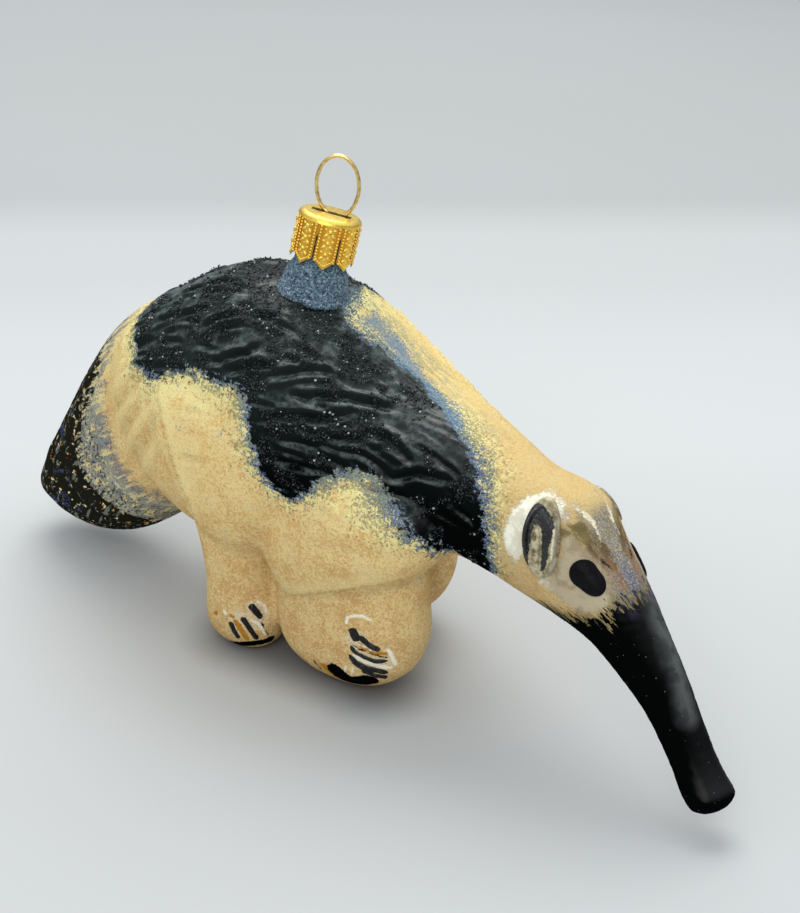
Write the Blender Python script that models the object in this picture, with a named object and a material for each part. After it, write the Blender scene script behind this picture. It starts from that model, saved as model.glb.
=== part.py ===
"""A blown glass hanging ornament in the form of a walking anteater, one solid for each named part.

The tables give millimetres; the meshes are made in metres.
The animal looks along +X, its left side is +Y, and the soles stand at height zero.
At the end everything moves together, so that the origin is the bottom centre of the bounding box.
"""
import math

import bmesh
import bpy
from mathutils import Matrix, Vector
from mathutils.bvhtree import BVHTree

# ---------------------------------------------------------------- sizes in millimetres
MM = 0.001
GAP = 0.30                 # clear space between parts that touch in the real glass
AROUND_BODY = 40           # corners round the torso, neck, head, snout and tail
AROUND_LEG = 28            # corners round each leg form
DOME_RINGS = 4             # rings that round off an end
LAY_HEIGHT = 15.0          # a piece is laid on the head from this far outside it
SHARP_ANGLE = 38.0         # degrees; flatter edges are shaded smooth

# Body from rump to snout. Each row is one slice: top x, top z, bottom x, bottom z, y, half width.
BODY_SLICES = [
    (-45.0, 50.0, -39.0, 35.0, 0.0, 9.0),
    (-41.0, 56.4, -32.0, 24.0, 0.0, 15.5),
    (-32.0, 63.0, -23.0, 18.0, 0.0, 20.0),
    (-20.5, 69.2, -14.0, 16.0, 0.0, 22.6),
    (-8.0, 71.2, -4.0, 15.5, 0.0, 23.6),
    (4.5, 68.8, 7.0, 16.5, 0.0, 23.4),
    (14.0, 62.4, 18.0, 19.5, 0.0, 21.4),
    (23.0, 57.6, 27.5, 25.5, -1.0, 17.6),
    (31.0, 55.4, 33.0, 29.4, -2.0, 14.6),
    (39.8, 52.6, 38.5, 30.4, -3.0, 12.2),
    (48.0, 50.3, 43.4, 29.4, -4.0, 10.2),
    (55.4, 50.0, 48.8, 28.0, -4.8, 9.2),
    (60.2, 48.2, 54.0, 27.0, -5.5, 8.7),
    (64.4, 42.5, 59.4, 26.2, -6.4, 7.8),
    (69.6, 36.8, 65.4, 24.6, -7.6, 6.8),
    (75.2, 30.2, 71.2, 20.6, -8.8, 5.4),
    (80.2, 24.0, 76.2, 16.6, -9.9, 4.5),
    (84.2, 18.2, 79.9, 12.6, -10.9, 3.9),
    (87.8, 13.2, 82.9, 9.2, -12.0, 3.7),
    (90.6, 10.0, 84.8, 6.8, -12.8, 4.0),
    (92.8, 8.0, 86.8, 5.0, -13.4, 4.4),
]
TORSO_END = 7.6            # places along the body, in slices, where one part ends and the next begins
NECK_END = 10.4
HEAD_END = 14.0
RUMP_DOME = 4.0            # how far the rounded rump and snout tip stand out past the last slice
TIP_DOME = 2.6

# Tail from its root in the rump to the end, in the same kind of rows.
TAIL_SLICES = [
    (-34.0, 62.0, -18.0, 26.0, 0.0, 15.5),
    (-45.0, 54.0, -31.0, 15.2, 0.0, 14.0),
    (-53.2, 43.6, -42.0, 7.2, 0.0, 12.2),
    (-60.4, 31.4, -51.5, 3.8, 0.0, 10.4),
    (-66.6, 20.6, -59.6, 4.0, 0.0, 8.2),
    (-70.4, 13.4, -65.8, 6.0, 0.0, 5.4),
]
TAIL_DOME = 2.2

# Right front leg. The upper arm is a leaning lobe, in slices as above.
ARM_SLICES = [
    (2.4, 36.0, 2.8, 20.0, -13.5, 6.4),
    (6.0, 42.6, 7.0, 15.4, -14.0, 8.6),
    (13.0, 46.4, 14.5, 17.0, -14.5, 9.8),
    (20.5, 47.2, 22.0, 20.8, -14.5, 10.0),
    (27.0, 45.4, 28.4, 25.2, -13.5, 9.2),
    (31.0, 43.0, 31.9, 28.8, -12.0, 8.0),
    (33.6, 40.8, 34.2, 31.8, -10.6, 6.2),
]
# The forearm and hand are level sections: height, least x, greatest x, y, half width in y.
FOREARM_LEVELS = [
    (31.0, 6.0, 31.0, -12.0, 6.4),
    (26.0, 2.8, 32.0, -12.4, 8.2),
    (20.0, 1.6, 32.8, -12.4, 8.6),
    (14.0, 1.4, 33.2, -12.2, 8.4),
    (9.0, 1.6, 31.8, -12.0, 8.1),
    (6.0, 2.6, 30.0, -11.8, 7.7),
    (3.6, 4.4, 27.6, -11.5, 6.8),
    (1.6, 7.2, 25.0, -11.1, 5.4),
    (0.5, 9.2, 23.4, -10.7, 4.2),
    (0.0, 10.6, 22.4, -10.6, 3.4),
]

# Right hind leg, a thigh lobe in slices and a shank and paw in level sections.
THIGH_SLICES = [
    (-24.0, 50.5, -22.0, 40.0, -14.0, 6.4),
    (-20.5, 56.0, -17.6, 30.0, -14.0, 10.2),
    (-14.0, 58.2, -12.0, 23.0, -13.6, 12.2),
    (-6.5, 57.0, -6.0, 20.0, -13.4, 12.6),
    (0.0, 52.4, -0.4, 21.5, -13.4, 11.8),
    (4.0, 45.0, 3.4, 27.0, -13.6, 10.0),
]
SHANK_LEVELS = [
    (36.0, -18.4, 0.6, -13.6, 7.4),
    (29.0, -17.2, 0.8, -13.8, 8.2),
    (22.0, -15.2, 0.8, -13.6, 7.8),
    (16.0, -14.3, 0.6, -13.4, 7.2),
    (10.0, -14.2, 0.8, -13.2, 7.0),
    (6.0, -14.8, 1.2, -12.8, 6.9),
    (3.0, -14.4, 1.0, -12.6, 6.4),
    (0.8, -12.6, -0.6, -12.4, 5.2),
    (0.0, -11.0, -2.0, -12.2, 4.2),
]
LEFT_FRONT_BACK = 9.5      # how far the left legs stand behind the right ones, as in a walk
LEFT_HIND_BACK = 9.0

# Claws: each row is one ridge on the paw, its blunt end, middle and thin end.
FRONT_CLAWS = [
    ((22.1, -20.6, 16.2), (24.2, -20.3, 14.5), (27.4, -19.1, 13.3)),
    ((22.4, -20.2, 12.8), (24.8, -19.6, 10.8), (28.6, -18.3, 10.6)),
    ((22.2, -19.8, 10.4), (25.0, -19.0, 8.4), (28.4, -17.3, 7.4)),
    ((20.6, -19.4, 7.2), (23.4, -18.4, 5.6), (26.6, -17.0, 4.6)),
]
HIND_CLAWS = [
    ((-5.6, -19.7, 6.7), (-4.8, -19.3, 4.9), (-4.1, -18.6, 3.2)),
    ((-3.0, -19.4, 8.6), (-1.8, -18.5, 6.4), (-0.7, -17.3, 4.3)),
    ((-1.5, -18.6, 11.4), (-0.7, -17.8, 9.8), (0.2, -16.9, 8.0)),
]
CLAW_RADII = (1.15, 1.05, 0.75)
CLAW_WEB_RADIUS = 0.95     # low ridge between the claws, which joins them into one piece

# Ears: centre of the right ear, its half sizes and how far the rim stands out.
EAR_CENTRE = (54.7, -13.5, 42.8)
EAR_HALF_TALL = 6.5
EAR_HALF_WIDE = 3.4
EAR_RIM = 1.4
EAR_CUP = 0.8
LEFT_EAR_LOWER = 2.4       # the left ear and eye sit a little lower than the right ones
EAR_TILT = 6.0             # degrees that the top of the ear leans back

# Eyes: centre of the right eye, its radius and the length of the corner that points to the snout.
EYE_CENTRE = (63.3, -14.0, 38.6)
EYE_RADIUS = 2.5
EYE_CORNER = 1.9
EYE_RISE = 0.7
LEFT_EYE_LOWER = 1.8

# Glass spout, metal cap and wire ring, on one axis that leans forward and to the left.
SPOUT_FOOT = (-0.6, -0.95, 73.1)
SPOUT_AXIS = (0.124, 0.158, 0.980)
SPOUT_RINGS = [(-14.0, 9.4), (-8.5, 8.2), (-6.0, 7.2), (-3.0, 6.1), (0.2, 5.5), (0.8, 4.5), (8.6, 4.4)]
CAP_RADIUS = 5.55
CAP_INNER = 4.85
CAP_TOP = 10.4             # height of the cap top above the spout foot
CAP_DEPTH = 8.6            # height of the cap wall below its top
CAP_PLATE = 0.6            # thickness of its top
CAP_TABS = 8
CAP_TURN = -9.0            # degrees from the slot to the nearest slit between the tabs
TAB_CORNERS = 8
CAP_POINT = 1.6            # length of the pointed end of each tab
CAP_SLIT = 0.5
CAP_SLIT_DEPTH = 6.6
CAP_TAB_SWELL = 0.35
CAP_EDGE = 0.7
SLOT_LENGTH = 7.6
SLOT_WIDTH = 1.7
RING_WIRE = 0.42
RING_HALF_WIDE = 3.78
RING_HALF_TALL = 5.3
RING_RISE = 5.2            # height of the ring's middle above the cap top
RING_SINK = 1.7            # how far the wire ends go down below the cap top
RING_TURN = 25.0           # degrees from the animal's length
RING_TILT = 12.0           # degrees that the ring leans back in its own plane

COLOURS = {
    "cream": (0.78, 0.60, 0.38, 1.0),
    "black": (0.02, 0.02, 0.022, 1.0),
    "blue": (0.14, 0.20, 0.28, 1.0),
    "gold": (0.83, 0.55, 0.10, 1.0),
    "wire": (0.80, 0.62, 0.28, 1.0),
}


# ---------------------------------------------------------------- small helpers
def blend_rows(rows, place):
    """One row between the rows of a table, on a smooth curve through them."""
    last = len(rows) - 1
    place = max(0.0, min(float(last), place))
    index = min(int(place), last - 1)
    t = place - index
    before = rows[max(index - 1, 0)]
    start = rows[index]
    end = rows[index + 1]
    after = rows[min(index + 2, last)]
    result = []
    for a, b, c, d in zip(before, start, end, after):
        curve = 2 * b + (c - a) * t + (2 * a - 5 * b + 4 * c - d) * t * t
        curve += (3 * b - a - 3 * c + d) * t * t * t
        result.append(curve / 2)
    return result


def oval(centre, side, up, corners, power=2.0):
    """Points of a closed oval, counted from the end of side towards the end of up."""
    points = []
    for k in range(corners):
        angle = 2 * math.pi * k / corners
        c = math.cos(angle)
        s = math.sin(angle)
        across = math.copysign(abs(c) ** (2 / power), c)
        along = math.copysign(abs(s) ** (2 / power), s)
        points.append(centre + side * across + up * along)
    return points


def slice_frame(row, yaw, margin):
    """Centre, side and up arrows of one slice row."""
    top = Vector((row[0], 0, row[1]))
    bottom = Vector((row[2], 0, row[3]))
    up = (top - bottom) / 2
    centre = (top + bottom) / 2 + Vector((0, row[4], 0))
    side = Vector((-math.sin(yaw), math.cos(yaw), 0)) * (row[5] + margin)
    up = up.normalized() * (up.length + margin)
    return centre, side, up


def slice_rings(rows, start, end, count, corners, margin=0.0, trim=0.0):
    """Rings along a table of slices from one place to another, ends trimmed by a length."""
    frames = []
    for k in range(count):
        place = start + (end - start) * k / (count - 1)
        row = blend_rows(rows, place)
        ahead = blend_rows(rows, place + 0.2)
        behind = blend_rows(rows, place - 0.2)
        run = (ahead[0] + ahead[2] - behind[0] - behind[2]) / 2
        yaw = math.atan2(ahead[4] - behind[4], abs(run)) * math.copysign(1, run)
        frames.append(slice_frame(row, yaw, margin))
    rings = []
    for k, (centre, side, up) in enumerate(frames):
        shift = 0.0
        if k == 0:
            shift = trim
        if k == count - 1:
            shift = -trim
        along = side.cross(up).normalized()
        if along.dot(frames[-1][0] - frames[0][0]) < 0:
            along = -along
        rings.append(oval(centre + along * shift, side, up, corners, 2.15))
    return rings


def level_rings(rows, count, corners, margin=0.0):
    """Rings of level sections; the lowest is the flat sole."""
    rings = []
    for k in range(count):
        row = blend_rows(rows, (len(rows) - 1) * k / (count - 1))
        height = row[0]
        centre = Vector(((row[1] + row[2]) / 2, row[3], height))
        side = Vector(((row[2] - row[1]) / 2 + margin, 0, 0))
        up = Vector((0, row[4] + margin, 0))
        rings.append(oval(centre, side, up, corners, 2.3))
    return rings


def middle(ring):
    total = Vector((0, 0, 0))
    for point in ring:
        total += point
    return total / len(ring)


def dome(ring, neighbour, depth, steps=DOME_RINGS):
    """Rings that round off an end beyond a ring, and the point at the pole."""
    centre = middle(ring)
    normal = (ring[0] - centre).cross(ring[len(ring) // 4] - centre).normalized()
    if normal.dot(centre - middle(neighbour)) < 0:
        normal = -normal
    rings = []
    for k in range(1, steps):
        angle = math.pi / 2 * k / steps
        pole_side = normal * depth * math.sin(angle)
        rings.append([centre + pole_side + (p - centre) * math.cos(angle) for p in ring])
    return rings, centre + normal * depth


def mesh_object(name, vertices, faces):
    mesh = bpy.data.meshes.new(name)
    mesh.from_pydata([tuple(v * MM) for v in vertices], [], faces)
    shape = bmesh.new()
    shape.from_mesh(mesh)
    bmesh.ops.remove_doubles(shape, verts=shape.verts, dist=0.004 * MM)
    bmesh.ops.recalc_face_normals(shape, faces=shape.faces)
    shape.to_mesh(mesh)
    shape.free()
    piece = bpy.data.objects.new(name, mesh)
    bpy.context.scene.collection.objects.link(piece)
    return piece


def loft(name, rings, start_pole=None, end_pole=None, closed=False):
    """A closed skin over rings of equal counts; an end without a pole is flat."""
    vertices = [p for ring in rings for p in ring]
    n = len(rings[0])
    faces = []
    for r in range(len(rings) - 1 + int(closed)):
        a = r * n
        b = (r + 1) % len(rings) * n
        for k in range(n):
            m = (k + 1) % n
            faces.append((a + k, a + m, b + m, b + k))
    if closed:
        return mesh_object(name, vertices, faces)
    for first, pole in ((0, start_pole), ((len(rings) - 1) * n, end_pole)):
        if pole is None:
            faces.append(tuple(range(first, first + n)))
            continue
        vertices.append(pole)
        tip = len(vertices) - 1
        for k in range(n):
            faces.append((first + k, first + (k + 1) % n, tip))
    return mesh_object(name, vertices, faces)


def combine(body, tool, operation):
    """Apply one Boolean step to a body and remove the tool."""
    step = body.modifiers.new("step", "BOOLEAN")
    step.operation = operation
    step.solver = "MANIFOLD"
    step.object = tool
    graph = bpy.context.evaluated_depsgraph_get()
    mesh = bpy.data.meshes.new_from_object(body.evaluated_get(graph))
    body.modifiers.clear()
    body.data = mesh
    bpy.data.objects.remove(tool)
    return body


def keep_largest(body):
    """Drop loose scraps that a cut leaves, and tidy the seams."""
    shape = bmesh.new()
    shape.from_mesh(body.data)
    bmesh.ops.remove_doubles(shape, verts=shape.verts, dist=0.001 * MM)
    seen = set()
    groups = []
    for start in shape.verts:
        if start in seen:
            continue
        group = [start]
        seen.add(start)
        for vert in group:
            for edge in vert.link_edges:
                other = edge.other_vert(vert)
                if other not in seen:
                    seen.add(other)
                    group.append(other)
        groups.append(group)
    groups.sort(key=len)
    for group in groups[:-1]:
        bmesh.ops.delete(shape, geom=group, context="VERTS")
    shape.to_mesh(body.data)
    shape.free()
    return body


def mirrored(point, side):
    """A point of the right side, or its mirror image for the left."""
    return Vector((point[0], point[1] * side, point[2]))


def flip(rings, side, back):
    """Rings of the right side, or mirrored and moved back for the left."""
    return [[Vector((p.x - back, p.y * side, p.z)) for p in ring] for ring in rings]


# ---------------------------------------------------------------- body, neck, head, snout and tail
def body_part(name, start, end, count, margin=0.0, extra=0.0):
    """One part of the long body form. The margin makes the larger copy that cuts its neighbours."""
    last = len(BODY_SLICES) - 1
    trim = GAP / 2 - margin - extra
    rings = slice_rings(BODY_SLICES, start, end, count, AROUND_BODY, margin, trim)
    start_pole = None
    end_pole = None
    if start <= 0:
        extra_rings, start_pole = dome(rings[0], rings[1], RUMP_DOME + margin)
        rings = extra_rings[::-1] + rings
    if end >= last:
        extra_rings, end_pole = dome(rings[-1], rings[-2], TIP_DOME + margin)
        rings = rings + extra_rings
    return loft(name, rings, start_pole, end_pole)


def torso(margin=0.0):
    return body_part("torso", 0, TORSO_END, 20, margin)


def neck(margin=0.0):
    return body_part("neck", TORSO_END, NECK_END, 9, margin)


def head(margin=0.0):
    return body_part("head", NECK_END, HEAD_END, 12, margin)


def snout():
    return body_part("snout", HEAD_END, len(BODY_SLICES) - 1, 15)


def tail():
    rings = slice_rings(TAIL_SLICES, 0, len(TAIL_SLICES) - 1, 18, AROUND_BODY)
    extra_rings, pole = dome(rings[-1], rings[-2], TAIL_DOME)
    body = loft("tail", rings + extra_rings, None, pole)
    combine(body, torso(GAP), "DIFFERENCE")
    return keep_largest(body)


# ---------------------------------------------------------------- legs and claws
def lobe(rows, side, back, margin):
    rings = slice_rings(rows, 0, len(rows) - 1, 12, AROUND_LEG, margin)
    first, first_pole = dome(rings[0], rings[1], 1.6 + margin, 3)
    last, last_pole = dome(rings[-1], rings[-2], 1.6 + margin, 3)
    rings = flip(first[::-1] + rings + last, side, back)
    poles = flip([[first_pole, last_pole]], side, back)[0]
    return loft("lobe", rings, poles[0], poles[1])


def column(rows, side, back, margin):
    rings = flip(level_rings(rows, 14, AROUND_LEG, margin), side, back)
    return loft("column", rings)


def leg(name, lobe_rows, level_rows, side, back, margin=0.0):
    body = lobe(lobe_rows, side, back, margin)
    combine(body, column(level_rows, side, back, margin), "UNION")
    body.name = name
    return body


def front_leg(name, side, back, margin=0.0):
    return leg(name, ARM_SLICES, FOREARM_LEVELS, side, back, margin)


def hind_leg(name, side, back, margin=0.0):
    return leg(name, THIGH_SLICES, SHANK_LEVELS, side, back, margin)


def bar(name, path, radii, corners=8):
    """A round bar along a path, its ends rounded."""
    rings = []
    for k, point in enumerate(path):
        ahead = path[min(k + 1, len(path) - 1)]
        behind = path[max(k - 1, 0)]
        along = (ahead - behind).normalized()
        side = along.cross(Vector((0, 1, 0.2))).normalized()
        up = side.cross(along).normalized()
        rings.append(oval(point, side * radii[k], up * radii[k], corners))
    first, first_pole = dome(rings[0], rings[1], radii[0], 2)
    last, last_pole = dome(rings[-1], rings[-2], radii[-1], 2)
    return loft(name, first[::-1] + rings + last, first_pole, last_pole)


def claws(name, paw, rows, side, back):
    """Ridges that follow the skin of a paw, joined by a low web."""
    ridges = []
    web = []
    for row in rows:
        path = []
        for point in row:
            target = mirrored(point, side) - Vector((back, 0, 0))
            path.append(seat([paw], target)[0])
        ridges.append(bar("ridge", path, CLAW_RADII))
        web.append(path[0].lerp(path[1], 0.7))
    body = bar(name, web, [CLAW_WEB_RADIUS] * len(web))
    for ridge in ridges:
        combine(body, ridge, "UNION")
    return body


# ---------------------------------------------------------------- ears and eyes
def head_mirror(point, side):
    """A point of the right of the turned head, or its mirror image in the head's own middle."""
    point = Vector(point)
    if side > 0:
        return point
    gaps = []
    for k in range(60):
        place = NECK_END + (HEAD_END - NECK_END) * k / 59
        row = blend_rows(BODY_SLICES, place)
        gaps.append((abs((row[0] + row[2]) / 2 - point.x), place))
    place = min(gaps)[1]
    row = blend_rows(BODY_SLICES, place)
    across = head_across(place)
    centre = Vector(((row[0] + row[2]) / 2, row[4], 0))
    return point - across * 2 * (point - centre).dot(across)


def head_across(place):
    """Level arrow to the left of the head at a place along it."""
    ahead = blend_rows(BODY_SLICES, place + 1)
    behind = blend_rows(BODY_SLICES, place - 1)
    run = Vector((ahead[0] + ahead[2] - behind[0] - behind[2], 2 * (ahead[4] - behind[4]), 0))
    return Vector((-run.y, run.x, 0)).normalized()


def seat(forms, target):
    """The point of some forms' skins nearest to a target, and the skin's outward arrow there."""
    best = None
    for form in forms:
        shape = bmesh.new()
        shape.from_mesh(form.data)
        spot, normal, index, far = BVHTree.FromBMesh(shape).find_nearest(target * MM)
        shape.free()
        if best is None or far < best[0]:
            best = (far, spot / MM, normal)
    return best[1], best[2]


def laid(skin, spot, out):
    """The point of a skin straight under a spot, looking back along out."""
    hit = skin.ray_cast((spot + out * LAY_HEIGHT) * MM, -out)[0]
    if hit is None:
        hit = skin.find_nearest(spot * MM)[0]
    return hit / MM


def seated_piece(name, side, target, lower, out, tall, outline, profile):
    """A low piece laid on the head: scaled copies of an outline, each at its height over the skin."""
    whole = body_part("whole", TORSO_END, HEAD_END, 26)
    target = head_mirror(target, side)
    if side < 0:
        target.z -= lower
    centre, normal = seat([whole], target)
    shape = bmesh.new()
    shape.from_mesh(whole.data)
    skin = BVHTree.FromBMesh(shape)
    shape.free()
    bpy.data.objects.remove(whole)
    across = head_across((NECK_END + HEAD_END) / 2)
    if side < 0:
        out = out - across * 2 * out.dot(across)
        tall = tall - across * 2 * tall.dot(across)
    out = out.normalized()
    wide = tall.cross(out).normalized()
    tall = out.cross(wide).normalized()
    rings = []
    for rise, scale in profile:
        ring = []
        for x, z in outline:
            ring.append(laid(skin, centre + (wide * x + tall * z) * scale, out) + out * rise)
        rings.append(ring)
    body = loft(name, rings)
    combine(body, head(GAP), "DIFFERENCE")
    combine(body, neck(GAP), "DIFFERENCE")
    return keep_largest(body)


def ear(name, side):
    """An oval cup on the side of the head."""
    tilt = math.radians(EAR_TILT)
    tall = Vector((-math.sin(tilt), 0, math.cos(tilt)))
    out = Vector((0.20, -1.0, 0.10))
    outline = []
    for k in range(24):
        angle = 2 * math.pi * k / 24
        outline.append((EAR_HALF_WIDE * math.cos(angle), EAR_HALF_TALL * math.sin(angle)))
    profile = [(-1.5, 0.9), (0.7, 0.98), (EAR_RIM - 0.4, 1.0), (EAR_RIM, 0.94)]
    profile += [(EAR_RIM, 0.80), (EAR_RIM - 0.5, 0.68), (EAR_RIM - EAR_CUP, 0.5)]
    profile += [(EAR_RIM - EAR_CUP, 0.25)]
    return seated_piece(name, side, EAR_CENTRE, LEFT_EAR_LOWER, out, tall, outline, profile)


def eye(name, side):
    """A low drop with a corner that points to the snout."""
    out = Vector((0.34, -1.0, 0.30))
    tall = Vector((0.82, 0.10, -0.56))
    outline = []
    for k in range(20):
        angle = 2 * math.pi * k / 20
        reach = EYE_RADIUS + EYE_CORNER * max(0.0, math.sin(angle)) ** 3
        outline.append((math.cos(angle) * EYE_RADIUS, math.sin(angle) * reach))
    profile = [(-1.5, 0.9), (0.35, 1.0), (EYE_RISE * 0.9, 0.9), (EYE_RISE, 0.6), (EYE_RISE, 0.3)]
    return seated_piece(name, side, EYE_CENTRE, LEFT_EYE_LOWER, out, tall, outline, profile)


# ---------------------------------------------------------------- spout, cap and ring
def axis_frame():
    along = Vector(SPOUT_AXIS).normalized()
    turn = math.radians(RING_TURN)
    wide = Vector((math.cos(turn), math.sin(turn), 0))
    wide = (wide - along * wide.dot(along)).normalized()
    return Vector(SPOUT_FOOT), along, wide, along.cross(wide)


def turned_rings(profile, corners):
    foot, along, wide, deep = axis_frame()
    return [oval(foot + along * rise, wide * radius, deep * radius, corners) for rise, radius in profile]


def spout():
    body = loft("spout", turned_rings(SPOUT_RINGS, 32))
    combine(body, torso(GAP), "DIFFERENCE")
    return keep_largest(body)


def box(name, centre, wide, deep, tall):
    """A box from its centre and three half arrows."""
    corners = []
    for z in (-1, 1):
        for x, y in ((-1, -1), (1, -1), (1, 1), (-1, 1)):
            corners.append(centre + wide * x + deep * y + tall * z)
    faces = [(3, 2, 1, 0), (4, 5, 6, 7), (0, 1, 5, 4), (1, 2, 6, 5), (2, 3, 7, 6), (3, 0, 4, 7)]
    return mesh_object(name, corners, faces)


def cap():
    """A cup with rounded, pointed tabs, slits between them and a slot for the wire in its top."""
    foot, along, wide, deep = axis_frame()
    corners = CAP_TABS * TAB_CORNERS
    lower = CAP_TOP - CAP_DEPTH
    rings = [cap_ring(lower, share, True) for share in (0.85, 0.0)]
    rings += [cap_ring(lower, share, False) for share in (0.0, 0.25, 0.55, 0.85)]
    turn = math.radians(CAP_TURN)
    first = wide * math.cos(turn) + deep * math.sin(turn)
    second = along.cross(first)
    for rise, radius in ((CAP_TOP - 0.35, CAP_RADIUS + 0.05), (CAP_TOP, CAP_RADIUS - CAP_EDGE * 0.6)):
        rings.append(oval(foot + along * rise, first * radius, second * radius, corners))
    under = oval(foot + along * (CAP_TOP - CAP_PLATE), first * CAP_INNER, second * CAP_INNER, corners)
    body = loft("cap", [under] + rings)
    for k in range(CAP_TABS):
        angle = 2 * math.pi * k / CAP_TABS + math.radians(CAP_TURN)
        out = wide * math.cos(angle) + deep * math.sin(angle)
        aside = along.cross(out)
        centre = foot + along * (lower + CAP_SLIT_DEPTH / 2 - 1.0) + out * CAP_RADIUS
        slit = box("slit", centre, out * 1.6, aside * (CAP_SLIT / 2), along * (CAP_SLIT_DEPTH / 2 + 1.0))
        combine(body, slit, "DIFFERENCE")
    centre = foot + along * CAP_TOP
    slot = box("slot", centre, wide * (SLOT_LENGTH / 2), deep * (SLOT_WIDTH / 2), along * 1.4)
    combine(body, slot, "DIFFERENCE")
    return keep_largest(body)


def cap_ring(lower, share, inside):
    """One ring of the cap wall; share runs from the pointed lower edge to the shoulder."""
    foot, along, wide, deep = axis_frame()
    ring = []
    for k in range(CAP_TABS * TAB_CORNERS):
        angle = 2 * math.pi * k / (CAP_TABS * TAB_CORNERS) + math.radians(CAP_TURN)
        across = abs((k % TAB_CORNERS) / TAB_CORNERS - 0.5) * 2
        point = lower + CAP_POINT * across
        rise = point + (CAP_TOP - CAP_EDGE - point) * share
        radius = CAP_INNER if inside else CAP_RADIUS - CAP_TAB_SWELL * across ** 2
        ring.append(foot + along * rise + (wide * math.cos(angle) + deep * math.sin(angle)) * radius)
    return ring


def hanger():
    """A wire loop whose two ends go down through the slot of the cap."""
    foot, along, wide, deep = axis_frame()
    tilt = math.radians(RING_TILT)
    up = along * math.cos(tilt) - wide * math.sin(tilt)
    side = along * math.sin(tilt) + wide * math.cos(tilt)
    centre = foot + along * (CAP_TOP + RING_RISE)
    gap_angle = 0.46
    path = []
    count = 38
    for k in range(count):
        angle = -math.pi / 2 + gap_angle + (2 * math.pi - 2 * gap_angle) * k / (count - 1)
        path.append(centre + side * math.cos(angle) * RING_HALF_WIDE + up * math.sin(angle) * RING_HALF_TALL)
    for end in (0, -1):
        x = (path[end] - foot).dot(wide)
        low = foot + along * (CAP_TOP - RING_SINK) + wide * x
        if end == 0:
            path.insert(0, low)
        else:
            path.append(low)
    rings = []
    for k, point in enumerate(path):
        ahead = path[min(k + 1, len(path) - 1)]
        behind = path[max(k - 1, 0)]
        run = (ahead - behind).normalized()
        side = run.cross(deep).normalized()
        rings.append(oval(point, side * RING_WIRE, deep * RING_WIRE, 10))
    return loft("hanger", rings)


# ---------------------------------------------------------------- putting the parts together
def colour(body, name):
    material = bpy.data.materials.new(body.name + "_" + name)
    material.use_nodes = True
    shader = material.node_tree.nodes["Principled BSDF"]
    shader.inputs["Base Color"].default_value = COLOURS[name]
    shader.inputs["Roughness"].default_value = 0.35 if name != "gold" else 0.25
    shader.inputs["Metallic"].default_value = 1.0 if name in ("gold", "wire") else 0.0
    body.data.materials.clear()
    body.data.materials.append(material)


def make_legs():
    """All four legs, each cut by the forms it lies against."""
    legs = []
    for word, side, front_back, hind_back in (("right", 1, 0.0, 0.0),
                                              ("left", -1, LEFT_FRONT_BACK, LEFT_HIND_BACK)):
        front = front_leg("leg_front_" + word, side, front_back)
        for tool in (torso(GAP), neck(GAP)):
            combine(front, tool, "DIFFERENCE")
        legs.append(keep_largest(front))
        hind = hind_leg("leg_hind_" + word, side, hind_back)
        for tool in (torso(GAP), tail_form(GAP), front_leg("tool", side, front_back, GAP)):
            combine(hind, tool, "DIFFERENCE")
        legs.append(keep_largest(hind))
        front_claws = claws("claws_front_" + word, front, FRONT_CLAWS, side, front_back)
        combine(front_claws, front_leg("tool", side, front_back, GAP), "DIFFERENCE")
        legs.append(keep_largest(front_claws))
        hind_claws = claws("claws_hind_" + word, hind, HIND_CLAWS, side, hind_back)
        combine(hind_claws, hind_leg("tool", side, hind_back, GAP), "DIFFERENCE")
        combine(hind_claws, front_leg("tool", side, front_back, GAP), "DIFFERENCE")
        legs.append(keep_largest(hind_claws))
    return legs


def tail_form(margin):
    rings = slice_rings(TAIL_SLICES, 0, len(TAIL_SLICES) - 1, 18, AROUND_BODY, margin)
    extra_rings, pole = dome(rings[-1], rings[-2], TAIL_DOME + margin)
    return loft("tail_tool", rings + extra_rings, None, pole)


def shade(body):
    """Smooth shading, with edges kept sharp where the surface turns hard."""
    body.data.shade_smooth()
    body.data.set_sharp_from_angle(angle=math.radians(SHARP_ANGLE))


def rest_on_origin(parts):
    """Hang everything on one empty, so that the origin is the bottom centre of the bounding box."""
    points = [v.co for part in parts for v in part.data.vertices]
    low = [min(p[k] for p in points) for k in range(3)]
    high = [max(p[k] for p in points) for k in range(3)]
    shift = Vector((-(low[0] + high[0]) / 2, -(low[1] + high[1]) / 2, -low[2]))
    holder = bpy.data.objects.new("ornament", None)
    bpy.context.scene.collection.objects.link(holder)
    for part in parts:
        spots = [v.co for v in part.data.vertices]
        centre = Vector([min(p[k] for p in spots) + max(p[k] for p in spots) for k in range(3)]) / 2
        part.data.transform(Matrix.Translation(-centre))
        part.location = centre + shift
        part.parent = holder
    bpy.context.view_layer.update()
    print("moved by", [round(v / MM, 3) for v in shift], "mm")
    size = [round((high[k] - low[k]) / MM, 2) for k in range(3)]
    print("overall size", size, "mm")


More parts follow.
